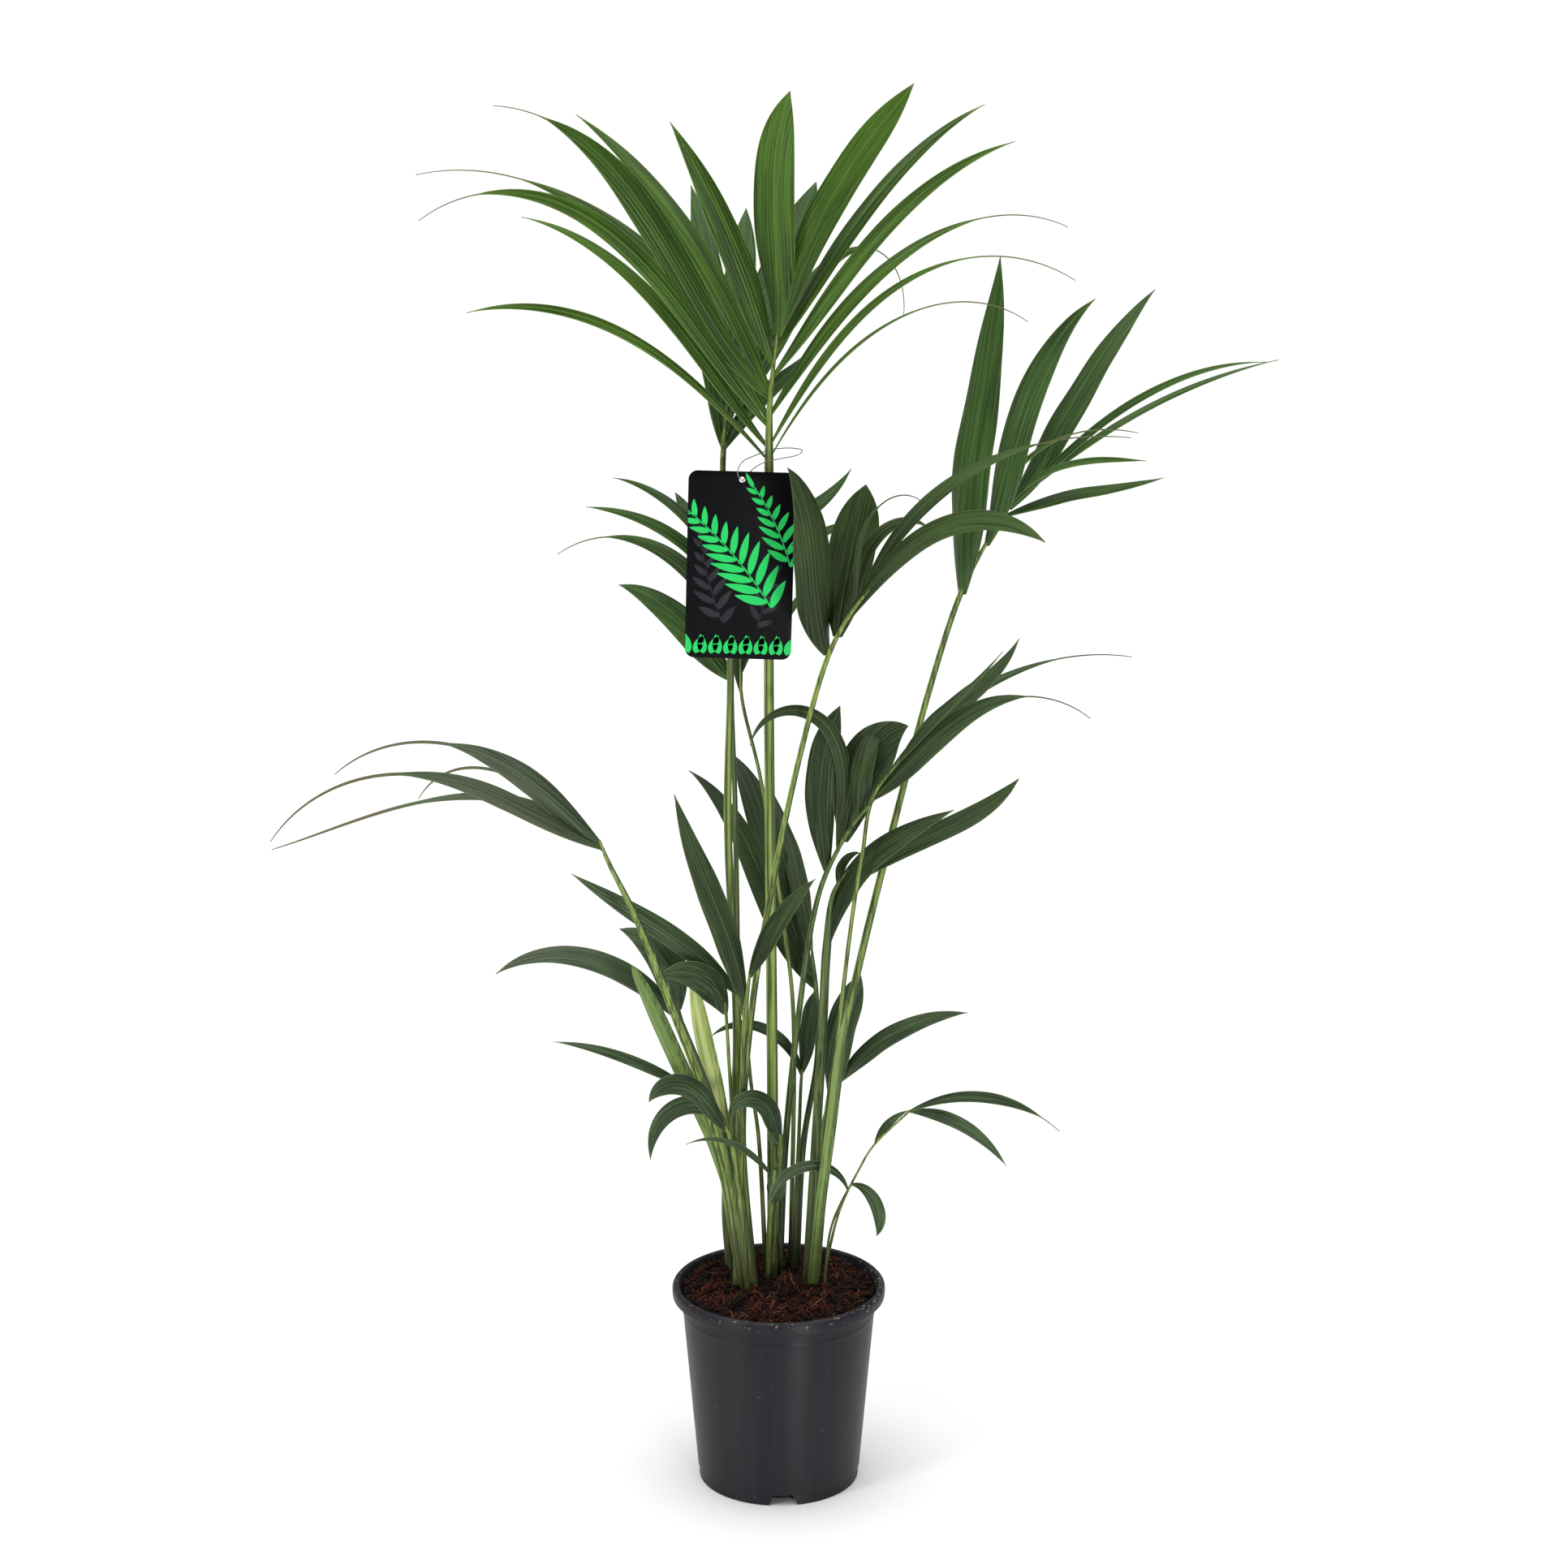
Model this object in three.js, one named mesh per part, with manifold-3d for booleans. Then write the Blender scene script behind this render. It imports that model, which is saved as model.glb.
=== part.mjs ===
// Kentia palm in its black nursery pot. Four tufts of slim stems rise from the soil, each stem
// carries leaf stalks, and each stalk ends in a frond of long leaflets. A plant tag hangs on a string.
// Millimetres, +Z up. The pot stands on z = 0 with its axis on the Z axis, and -Y is the front.
import * as THREE from 'three';
import { mergeVertices } from 'three/addons/utils/BufferGeometryUtils.js';
import Module from 'manifold-3d';

const wasm = await Module();
wasm.setup();

const gap = 0.3; // clearance between pieces that meet
const sliver = 0.03; // edges shorter than this are merged away after a boolean

const pot = {
  height: 184,
  rimRadius: 95, // outside of the rolled lip
  mouthRadius: 88.5, // inner edge of the lip
  neckRadius: 86.6, // body just under the lip
  baseRadius: 72.8, // body just above the foot
  footRadius: 71.6,
  footHeight: 10.6,
  lipHeight: 11.2,
  wall: 1.7,
  floorRadius: 56, // flat middle of the underside
  notchCount: 3,
  notchTop: 17, // width of a drain notch at its top
  notchBottom: 27,
  notchShift: 4, // the front notch stands a little right of the middle
  sides: 40,
};

const soil = {
  top: 183.5, // level plateau that the stems stand on
  plateauRadius: 58,
  edge: 176, // level at the pot's wall
  lump: { x: 12, y: -11, radius: 10 },
};

const tag = {
  width: 90,
  height: 161,
  thickness: 1,
  corner: 8,
  holeRadius: 2.5,
  holeDrop: 7, // from the top edge
  centre: [-32.3, -22, 842.5],
  lean: 1.6, // degrees, its top to the right
};

const stringRadius = 0.45;
const stemSplit = 62; // height above the soil where a tuft parts into single stalks

const leaf = {
  segments: 8, // along a leaflet
  baseShare: 0.22, // width at the root as a share of the full width
  cup: 0.3, // how far the leaflets of a frond turn in towards its rib
  minThickness: 1.5,
  slenderness: 1 / 95, // thickness over length
  thread: 1.6, // width where a leaflet runs out into a thread
};

// Outlines of a leaflet: where along it the blade is widest, where it ends, and how blunt it is.
const outlines = {
  lance: { widest: 0.4, end: 1, power: 2 },
  blunt: { widest: 0.55, end: 1, power: 3.2 },
  late: { widest: 0.6, end: 1, power: 2 }, // narrow up to its middle
  tail: { widest: 0.5, end: 0.88, power: 1.7 }, // runs out into a short thread
  whip: { widest: 0.34, end: 0.76, power: 1.6 }, // and into a longer one
  lash: { widest: 0.32, end: 0.64, power: 1.5 },
};

// ---------------------------------------------------------------- closed meshes and booleans

const degrees = Math.PI / 180;

function vector(list) {
  return new THREE.Vector3(...list);
}

// Closed solid through rings of points. Rings run counter-clockwise about the way they advance,
// and a ring of one point closes an end as a tip.
function loft(rings, closed = false) {
  const positions = [];
  const starts = rings.map((ring) => {
    const start = positions.length / 3;
    ring.forEach((p) => positions.push(p.x, p.y, p.z));
    return start;
  });
  const index = [];
  const spans = closed ? rings.length : rings.length - 1;
  for (let i = 0; i < spans; i += 1) {
    const j = (i + 1) % rings.length;
    const count = rings[i].length;
    for (let k = 0; k < count; k += 1) {
      const next = (k + 1) % count;
      const a = starts[i] + k;
      const b = starts[i] + next;
      if (rings[j].length === 1) {
        index.push(a, b, starts[j]);
      } else {
        index.push(a, b, starts[j] + next);
        index.push(a, starts[j] + next, starts[j] + k);
      }
    }
  }
  if (!closed) {
    const last = rings.length - 1;
    for (let k = 1; k < rings[0].length - 1; k += 1) {
      index.push(starts[0], starts[0] + k + 1, starts[0] + k);
    }
    for (let k = 1; k < rings[last].length - 1; k += 1) {
      index.push(starts[last], starts[last] + k, starts[last] + k + 1);
    }
  }
  const geometry = new THREE.BufferGeometry();
  geometry.setAttribute('position', new THREE.Float32BufferAttribute(positions, 3));
  geometry.setIndex(index);
  return geometry;
}

function toManifold(geometry) {
  const bare = new THREE.BufferGeometry();
  bare.setAttribute('position', geometry.getAttribute('position'));
  bare.setIndex(geometry.getIndex());
  const merged = mergeVertices(bare, 1e-4);
  const vertProperties = new Float32Array(merged.getAttribute('position').array);
  const triVerts = new Uint32Array(merged.getIndex().array);
  return new wasm.Manifold(new wasm.Mesh({ numProp: 3, vertProperties, triVerts }));
}

function toGeometry(manifold) {
  const mesh = manifold.getMesh();
  const geometry = new THREE.BufferGeometry();
  geometry.setAttribute('position', new THREE.BufferAttribute(new Float32Array(mesh.vertProperties), 3));
  geometry.setIndex(new THREE.BufferAttribute(new Uint32Array(mesh.triVerts), 1));
  return geometry;
}

function fuse(geometries) {
  const solids = geometries.map(toManifold);
  return toGeometry(solids.reduce((whole, solid) => whole.add(solid)).simplify(sliver));
}

// The part of a solid between two levels.
function slice(geometry, low, high) {
  const wide = 3000;
  const slab = new THREE.BoxGeometry(wide, wide, high - low);
  slab.translate(0, 0, (low + high) / 2);
  return toGeometry(toManifold(geometry).intersect(toManifold(slab)));
}

// ---------------------------------------------------------------- stalks and leaflets

const stalkSides = 6;
const limbStep = 60; // length between two sections

function taper(first, last) {
  return (share) => first + (last - first) * share;
}

// Full width up to the last part, which narrows to a point.
function pointed(width) {
  const shoulder = 0.78;
  return (share) => {
    const over = Math.max(0, (share - shoulder) / (1 - shoulder));
    return width * Math.max(0.1, Math.sqrt(1 - over ** 2));
  };
}

function sectionRing(centre, side, front, halfWidth, halfDepth, sides) {
  const ring = [];
  for (let k = 0; k < sides; k += 1) {
    const turn = (2 * Math.PI * k) / sides;
    const point = centre.clone();
    point.addScaledVector(side, Math.cos(turn) * halfWidth);
    point.addScaledVector(front, Math.sin(turn) * halfDepth);
    ring.push(point);
  }
  return ring;
}

// The direction nearest to wanted that is square to the tangent.
function squareTo(tangent, wanted) {
  const front = wanted.clone().addScaledVector(tangent, -wanted.dot(tangent));
  return front.normalize();
}

// Smooth line through the points of a route.
function lineThrough(route, closed = false) {
  return new THREE.CatmullRomCurve3(route.map(vector), closed);
}

// Share of a line's length at which its point number neck lies.
function shareAt(line, neck) {
  const parts = 20;
  const lengths = line.getLengths(parts * (line.points.length - 1));
  return lengths[parts * neck] / lengths.at(-1);
}

// Limb along a line between two shares of its length. widthAt gives its width across from 0 to 1
// along it, and flat is its depth over its width.
function limb(line, from, to, widthAt, flat = 1) {
  const steps = Math.max(3, Math.ceil(((to - from) * line.getLength()) / limbStep));
  const rings = [];
  for (let i = 0; i <= steps; i += 1) {
    const share = i / steps;
    const along = from + (to - from) * share;
    const tangent = line.getTangentAt(along);
    const front = squareTo(tangent, new THREE.Vector3(0, -1, 0));
    const side = new THREE.Vector3().crossVectors(front, tangent);
    const half = widthAt(share) / 2;
    rings.push(sectionRing(line.getPointAt(along), side, front, half, half * flat, stalkSides));
  }
  return loft(rings);
}

// Width of a leaflet at a share of its length.
function leafWidth(s, width, { widest, end, power }) {
  const grow = Math.min(1, s / (widest - 0.05));
  const fade = Math.min(1, Math.max(0, (s - widest) / (end - widest)));
  const full = leaf.baseShare + (1 - leaf.baseShare) * grow * (2 - grow);
  return Math.max(leaf.thread, width * full * (1 - fade ** power));
}

// Angle above level at a share of a leaflet's length, from its angles at root, middle and tip.
function slope(s, root, middle, tip) {
  return root * (1 - s) * (1 - 2 * s) + 4 * middle * s * (1 - s) + tip * s * (2 * s - 1);
}

// One leaflet: a thin blade that leaves its base in the direction of heading and arches over.
function leaflet(base, facing, row) {
  const [, heading, root, middle, tip, length, width, outline = 'lance'] = row;
  const out = new THREE.Vector3(Math.cos(heading * degrees), Math.sin(heading * degrees), 0);
  const across = new THREE.Vector3(-facing.y, facing.x, 0).normalize();
  const wanted = facing.clone().addScaledVector(across, -leaf.cup * Math.sign(out.dot(across)));
  const thickness = Math.max(leaf.minThickness, length * leaf.slenderness);
  const substeps = 5;
  const tangentAt = (s) => {
    const angle = slope(s, root, middle, tip) * degrees;
    return out.clone().multiplyScalar(Math.cos(angle)).add(new THREE.Vector3(0, 0, Math.sin(angle)));
  };
  const centre = base.clone();
  const rings = [];
  for (let i = 0; i < leaf.segments; i += 1) {
    const s = i / leaf.segments;
    const tangent = tangentAt(s);
    const front = squareTo(tangent, wanted);
    const side = new THREE.Vector3().crossVectors(front, tangent);
    const wide = leafWidth(s, width, outlines[outline]);
    const depth = (thickness / 2) * (0.4 + 0.6 * Math.min(1, wide / width));
    rings.push(sectionRing(centre, side, front, wide / 2, depth, 4));
    for (let k = 0; k < substeps; k += 1) {
      const halfway = (i + (k + 0.5) / substeps) / leaf.segments;
      centre.addScaledVector(tangentAt(halfway), length / leaf.segments / substeps);
    }
  }
  rings.push([centre.clone()]);
  return loft(rings);
}

// ---------------------------------------------------------------- the fronds
//
// route: the stalk from its foot in the soil to the rib's tip, and neck: the route point where
// the rib starts. stalk and rib: widths at the foot, at the neck and at the rib's tip.
// faces: the way the leaflets' upper sides look. Each leaflet is a row of its place along the
// rib from 0 to 1, its heading, its angles above level at root, middle and tip, length, width
// and, where it isn't a plain lance, its outline.

const fronds = [
  {
    name: 'top', tuft: 'mid_left', widths: [10.5, 8, 2], neck: 3, faces: [0, -1, 0.35],
    route: [[-5, 18, 180], [-5.5, 16, 356], [-8.2, 8, 727], [-8, 4, 919], [-7, 6, 978], [-1, 18, 1032]],
    leaflets: [
      [1.00, -11, 86, 92, 67, 206, 35, 'blunt'],
      [1.00, 10, 78, 60, 48, 241, 29, 'blunt'],
      [0.89, 40, 51, 41.5, 16, 308, 15],
      [0.69, -30, 52, 47, 17, 311, 15],
      [0.39, 29, 55, 30, -25, 356, 13, 'whip'],
      [0.15, -35, 59, 34.5, -25, 372, 8, 'whip'],
      [0.05, 26, 58, 26.5, -35, 300, 3.5, 'whip'],
      [0.79, -155, 73, 66, 57, 226, 27],
      [0.56, 138, 60, 45, 23, 319, 19],
      [0.54, -149, 42, 55.5, 5, 371, 29, 'tail'],
      [0.36, 158, 60, 33.5, -14, 407, 20, 'whip'],
      [0.31, -146, 47, 41, -31, 420, 17, 'tail'],
      [0.14, 164, 49, 46.5, 8, 294, 13],
      [0.04, -148, 48, 31.5, -9, 333, 9, 'late'],
    ],
  },
  {
    name: 'back', tuft: 'left', widths: [9.5, 5, 2], neck: 6, faces: [0.2, -1, 0.5],
    route: [[-42, 34, 180], [-47, 40, 245], [-37, 44, 383], [-44.5, 40, 603], [-41.5, 38, 746],
      [-47.5, 40, 898], [-47, 44, 928], [-44, 66, 963]],
    leaflets: [
      [0.00, 115, 62, 57, -15, 149, 13],
      [0.81, 100, 54, 43, 25, 262, 28],
      [0.43, 86, 32, 35, 33, 285, 29, 'blunt'],
      [1.00, 66, 50, 40, 42, 256, 36, 'blunt'],
      [0.75, 52, 28, 30, -98, 339, 17, 'whip'],
      [0.00, 59, 45, 18, 25, 168, 16],
    ],
  },
  {
    name: 'right', tuft: 'right', widths: [8.5, 5, 2], neck: 5, faces: [-0.35, -1, 0.4],
    route: [[30, 8, 178], [46, 12, 356], [69, 20, 468], [100.5, 32, 600], [130.5, 40, 719],
      [155.5, 44, 800], [171, 48, 833], [198, 60, 877]],
    leaflets: [
      [0.00, 69, 98, 63, 74, 300, 43],
      [0.56, -40, 72, 68.5, 36, 253, 31],
      [1.00, 40, 44, 48.5, 31, 245, 31],
      [0.97, -30, 46, 35.5, 4, 285, 8],
      [1.00, 26, 37, 22, 6, 296, 7],
      [0.95, -50, 55, 18.5, 6, 187, 6, 'late'],
      [0.90, 40, 13, 0, 3, 197, 14],
      [0.65, -38, 85, 34, -4, 203, 5, 'whip'],
    ],
  },
  {
    name: 'fore', tuft: 'left', widths: [7, 4.5, 2], neck: 5, faces: [0.15, -1, 0.35],
    route: [[-21, 8, 177], [-32, 9, 319], [-24, 2, 435], [-10.5, -14, 530], [16.5, -39, 674],
      [41.5, -57, 772], [58, -68, 808], [81, -88, 844]],
    leaflets: [
      [0.00, -133, 65, 82, 44, 176, 38],
      [0.21, 63, 76, 64, 62, 132, 40, 'blunt'],
      [0.39, -43, 53, 30, -25, 255, 18, 'blunt'],
      [0.72, -29, 68, 33, 0, 305, 12, 'whip'],
      [0.52, 28, 83, 49, -46, 124, 12],
      [0.58, 25, 82, 67, -44, 134, 5, 'whip'],
    ],
  },
  {
    name: 'behind_tag', tuft: 'left', widths: [7, 4, 2], neck: 3, faces: [-0.1, -1, 0.45],
    route: [[-40, 40, 181], [-37, 60, 377], [-38, 60, 597], [-41, 66, 719], [-39, 78, 775],
      [-36, 96, 822]],
    leaflets: [
      [0.00, 150, 43, 36, 2, 139, 28],
      [0.26, 143, 73, 15, -34, 240, 15, 'whip'],
      [0.53, 166, 74, 33, 0, 173, 12],
      [0.73, 140, 61, 31, -1, 174, 10],
      [0.85, 115, 21, 22, 23, 143, 15, 'blunt'],
      [1.00, 41, 40, 18, 46, 150, 19],
      [0.45, 26, 42, 37, -33, 172, 11],
      [0.18, 52, 19, 21, 66, 131, 10],
    ],
  },
  {
    name: 'slip', tuft: 'mid_right', widths: [4.5, 3, 2], neck: 4, faces: [0, -1, 0.3],
    route: [[10.5, 45, 180], [13, 60, 416], [6, 60, 489], [-16, 56, 636], [-32, 52, 709],
      [-33, 50, 744]],
    leaflets: [
      [0.10, 150, 84, 78, 73, 115, 12],
      [0.60, 1, 76, 76, 84, 116, 10],
    ],
  },
  {
    name: 'middle', tuft: 'mid_left', widths: [7, 4.5, 2], neck: 4, faces: [0.1, -1, 0.3],
    route: [[0, 33, 180], [6, 30, 304], [18, 16, 434], [30, 4, 523], [40, -6, 564],
      [62, -24, 613], [82, -42, 644]],
    leaflets: [
      [0.02, 25, 101, 87.5, 60, 151, 27, 'blunt'],
      [0.40, 31, 77, 62, 0, 125, 44, 'late'],
      [0.30, -155, 97, 61, -79, 205, 14],
      [0.72, 68, 88, 52, -36, 104, 20],
    ],
  },
  {
    name: 'lance', tuft: 'right', widths: [4.5, 3.4, 2], neck: 4, faces: [-0.3, -1, 0.5],
    route: [[33, -3, 180], [54, -10, 440], [66, -20, 550], [72, -24, 589], [80, -32, 641],
      [104, -42, 679]],
    leaflets: [
      [0.00, -33, 44, 34, -30, 250, 23, 'whip'],
      [0.34, 22, 54, 21, -13, 268, 10, 'whip'],
      [1.00, 6, 60, 38, 64, 145, 20],
      [0.76, -39, 52, 45, 49, 164, 6],
    ],
  },
  {
    name: 'elbow', tuft: 'right', widths: [9, 8, 2.5], neck: 3, faces: [-0.3, -1, 0.3],
    route: [[24.5, -2, 179], [34.5, -2, 348], [39, 6, 430], [42, 8, 494], [48, 6, 546], [61, 2, 568]],
    leaflets: [
      [0.01, -30, 89, 44, 29, 196, 24],
      [0.59, 5, 52, 24, 49, 195, 19, 'blunt'],
      [0.77, 32, 90, 52, -20, 41, 9],
    ],
  },
  {
    name: 'twin', tuft: 'left', widths: [6.5, 5, 2.5], neck: 2, faces: [0.1, -1, 0.3],
    route: [[-35, 11, 183], [-33, -5, 324], [-29, -16, 442], [-25, -22, 481]],
    leaflets: [
      [0.16, -130, 78, 63, 70, 231, 25],
      [0.92, -45, 66, 53, 41, 134, 18],
    ],
  },
  {
    name: 'shade', tuft: 'mid_right', widths: [7, 4.5, 2], neck: 3, faces: [0.2, -1, 0.3],
    route: [[15, 36, 179], [22, 40, 300], [34.5, 48, 381], [33, 56, 442], [29, 66, 478]],
    leaflets: [
      [0.00, 142, 43, 60, 19, 231, 27],
      [0.30, 117, 34, 55, 22, 229, 34, 'blunt'],
      [0.92, 102, 53, 28, 16, 204, 20],
    ],
  },
  {
    name: 'arch', tuft: 'left', widths: [18, 4, 2], flat: 0.45, neck: 5, faces: [0.1, -1, 0.5],
    route: [[-25, -6, 180], [-42, -14, 290], [-65, -22, 376], [-94, -34, 460], [-124, -46, 544],
      [-145, -54, 592], [-152, -60, 613]],
    leaflets: [
      [0.82, -158, 48, 27, -38, 272, 23, 'lash'],
      [0.52, 145, 37, 9, -57, 231, 8, 'lash'],
      [0.62, -150, 30, 18.5, -52, 337, 18, 'lash'],
      [0.60, 178, 52, -9, -18, 304, 8, 'lash'],
    ],
  },
  {
    name: 'wing', tuft: 'left', widths: [6, 4.5, 2.5], neck: 3, faces: [0, -1, 0.3],
    route: [[-27, 16, 179], [-50, 16, 302], [-73, 16, 378], [-85, 20, 420], [-90, 24, 439]],
    leaflets: [
      [0.15, 164, 48, 11, -40, 194, 20, 'tail'],
      [0.62, 169, 90, 56, 8, 98, 30],
      [1.00, 104, 90, 62, -20, 86, 20],
    ],
  },
  {
    name: 'curl', tuft: 'mid_left', widths: [4.5, 3, 2], neck: 3, faces: [0, -1, 0.3],
    route: [[-11, 20, 180], [-18, 20, 315], [-24, 19, 361], [-30, 18, 422], [-37, 14, 457]],
    leaflets: [
      [0.80, -172, 53, 36, 36, 187, 20, 'whip'],
    ],
  },
];

// Small low leaves, each on a short stalk of its own that is one piece with it.
const lowLeaves = [
  {
    name: 'low_arch', tuft: 'left', widths: [4, 3, 2], neck: 2, faces: [0, -1, 0.3],
    route: [[-32, 25, 180], [-43, 10, 374], [-46, 4, 434], [-47, 2, 447]],
    leaflets: [[0.05, -150, 76, 36, -18, 90, 27]],
  },
  {
    name: 'low_left', tuft: 'left', widths: [4, 3, 2], neck: 2, faces: [0, -1, 0.3],
    route: [[-30, 7, 179], [-46, 6, 290], [-66, 6, 347], [-78, 6, 366]],
    leaflets: [[0.92, 171, 28, 18, 2, 130, 10]],
  },
  {
    name: 'pair', tuft: 'left', widths: [5.5, 4.5, 2.5], neck: 2, faces: [0, -1, 0.4],
    route: [[-27, -16, 182], [-34, -24, 277], [-42, -30, 332], [-47, -32, 345]],
    leaflets: [
      [0.48, -149, 50, 42, -61, 108, 19, 'blunt'],
      [1.00, 172, 73, -34, -90, 109, 17],
    ],
  },
  {
    name: 'hook', tuft: 'mid_left', widths: [5, 4.5, 3], neck: 2, faces: [0, -1, 0.4],
    route: [[-7, 8, 181], [-1, 0, 275], [2, -4, 313], [2, -6, 327]],
    leaflets: [
      [0.21, -152, 73, 42, -108, 93, 19],
      [0.00, -151, 56, 54, 52, 21, 10],
    ],
  },
  {
    name: 'fold', tuft: 'mid_left', widths: [6, 5, 3], neck: 1, faces: [0, -1, 0.2],
    route: [[-10, 5, 181], [-7, -6, 260], [-5, -11, 280], [-3, -13, 296]],
    leaflets: [
      [0.00, -51, 61, 79, 94, 42, 17],
      [0.79, -140, 51, 33, -8, 119, 6],
    ],
  },
  {
    name: 'side', tuft: null, widths: [3.6, 2.2, 1.8], neck: 3, faces: [-0.2, -1, 0.5],
    route: [[38, 8, 182], [54, -4, 254], [71, -14, 297], [83, -20, 321], [115, -30, 358]],
    leaflets: [
      [1.00, -17, 33, -1, -40, 144, 10, 'whip'],
      [1.00, 13, -5, -35, -56, 110, 12],
      [0.00, -19, 70, 49, 27, 49, 8],
    ],
  },
  {
    name: 'low_side', tuft: null, widths: [3.4, 2.2, 1.8], neck: 2, faces: [0, -1, 0.4],
    route: [[40, -6, 182], [46.5, -12, 241], [61, -18, 279], [65, -20, 286]],
    leaflets: [
      [0.00, -163, 74, -5, -80, 101, 10, 'late'],
      [0.82, -42, 17, -56, -118, 64, 12, 'late'],
    ],
  },
  {
    name: 'right_low', tuft: 'right', widths: [4.5, 3.6, 2.5], neck: 2, faces: [-0.2, -1, 0.3],
    route: [[24, 18, 183], [35, 22, 299], [44, 26, 343], [51, 28, 362]],
    leaflets: [
      [1.00, 14, 53, 25, -3, 139, 18],
      [0.21, 55, 86, 67, 35, 118, 30, 'blunt'],
    ],
  },
  {
    name: 'bud', tuft: 'mid_right', widths: [4.5, 3, 2], neck: 2, faces: [0, -1, 0.2],
    route: [[12, 28, 178], [18, 28, 312], [20, 28, 366], [21, 28, 375]],
    leaflets: [
      [0.69, 44, 79, 79, 78, 73, 17, 'blunt'],
      [0.29, 155, 82, 13, -45, 115, 10],
    ],
  },
];

// Flat leaf sheaths that stand up from a tuft and end in a point.
const sheaths = [
  {
    name: 'outer', tuft: 'left', width: 15, flat: 0.35,
    route: [[-33, -5, 180], [-35.5, -4, 245], [-54, -8, 316], [-82, -16, 385], [-114, -22, 462],
      [-127, -26, 490]],
  },
  {
    name: 'bright', tuft: 'right', width: 9.5, flat: 0.4,
    route: [[29, -4, 180], [37, -30, 272], [45.5, -37, 345], [54, -38, 420], [58.5, -38, 450]],
  },
  {
    name: 'pale', tuft: 'left', width: 16, flat: 0.35,
    route: [[-30, 34, 180], [-41, 27, 249], [-56, 25, 357], [-67, 24, 411], [-76, 22, 462]],
  },
];

const tufts = [
  { name: 'left', centre: [-30.5, 16], radii: [14, 36] },
  { name: 'mid_left', centre: [-4.5, 16], radii: [9, 16] },
  { name: 'mid_right', centre: [14, 37], radii: [7.5, 13] },
  { name: 'right', centre: [29, 6], radii: [8.5, 14] },
];

// ---------------------------------------------------------------- building the plant

const soilLevel = soil.top + gap;
const splitLevel = soil.top + stemSplit;
const skyLevel = 2000;
const stemParts = new Map(tufts.map((tuft) => [tuft.name, []]));
const kentia = new THREE.Group();

const finish = {
  pot: { color: 0x2c2c30, roughness: 0.5, metalness: 0 },
  soil: { color: 0x4a2a1c, roughness: 1, metalness: 0 },
  stem: { color: 0x7f9a48, roughness: 0.6, metalness: 0 },
  stalk: { color: 0x7c9a48, roughness: 0.55, metalness: 0 },
  frond: { color: 0x3f5f2e, roughness: 0.55, metalness: 0 },
  lowLeaf: { color: 0x3a5236, roughness: 0.6, metalness: 0 },
  sheath: { color: 0x9cba5c, roughness: 0.55, metalness: 0 },
  tag: { color: 0x17171b, roughness: 0.4, metalness: 0 },
  string: { color: 0x6d6a64, roughness: 0.6, metalness: 0 },
};

function addPiece(name, geometry, look) {
  const mesh = new THREE.Mesh(geometry, new THREE.MeshStandardMaterial(look));
  mesh.name = name;
  kentia.add(mesh);
}

// Lowers a route's first point so that its end is cut flat by the soil's level.
function sunk(route) {
  const [x, y, z] = route[0];
  return [[x, y, z - 8], ...route.slice(1)];
}

// A limb's foot goes to its tuft, and the rest is returned.
function plant(limbGeometry, tuft) {
  if (tuft === null) {
    return slice(limbGeometry, soilLevel, skyLevel);
  }
  stemParts.get(tuft).push(slice(limbGeometry, soilLevel, splitLevel - gap / 2));
  return slice(limbGeometry, splitLevel + gap / 2, skyLevel);
}

function blade(frond, line, neck, start) {
  const { widths, faces } = frond;
  const facing = vector(faces).normalize();
  const rib = limb(line, start, 1, taper(widths[1] * 0.8, widths[2]));
  const leaflets = frond.leaflets.map((row) => {
    const place = 0.03 + 0.95 * row[0];
    return leaflet(line.getPointAt(neck + (1 - neck) * place), facing, row);
  });
  return [rib, ...leaflets];
}

for (const frond of fronds) {
  const { name, tuft, widths } = frond;
  const line = lineThrough(sunk(frond.route));
  const neck = shareAt(line, frond.neck);
  const clear = (2 * gap) / line.getLength();
  const stalk = limb(line, 0, neck - clear, taper(widths[0], widths[1]), frond.flat);
  addPiece(`stalk_${name}`, plant(stalk, tuft), finish.stalk);
  addPiece(`frond_${name}`, fuse(blade(frond, line, neck, neck + clear)), finish.frond);
}

for (const low of lowLeaves) {
  const { name, tuft, widths } = low;
  const line = lineThrough(sunk(low.route));
  const neck = shareAt(line, low.neck);
  const stalk = plant(limb(line, 0, neck, taper(widths[0], widths[1])), tuft);
  const joint = 2 / line.getLength();
  addPiece(`leaf_${name}`, fuse([stalk, ...blade(low, line, neck, neck - joint)]), finish.lowLeaf);
}

for (const sheath of sheaths) {
  const body = limb(lineThrough(sunk(sheath.route)), 0, 1, pointed(sheath.width), sheath.flat);
  addPiece(`sheath_${sheath.name}`, plant(body, sheath.tuft), finish.sheath);
}

// The swollen foot that ties the stems of a tuft together.
function tuftFoot({ centre, radii }) {
  const levels = [[0, 1], [14, 0.92], [30, 0.6]];
  const rings = levels.map(([rise, share]) => sectionRing(
    new THREE.Vector3(centre[0], centre[1], soilLevel + rise),
    new THREE.Vector3(1, 0, 0),
    new THREE.Vector3(0, 1, 0),
    radii[0] * share,
    radii[1] * share,
    12,
  ));
  return loft(rings);
}

for (const tuft of tufts) {
  addPiece(`stem_${tuft.name}`, fuse([tuftFoot(tuft), ...stemParts.get(tuft.name)]), finish.stem);
}

// ---------------------------------------------------------------- pot and soil

function turned(profile) {
  const points = profile.map(([r, z]) => new THREE.Vector2(r, z));
  const geometry = new THREE.LatheGeometry([...points, points[0]], pot.sides);
  geometry.rotateX(Math.PI / 2);
  return geometry;
}

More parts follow.
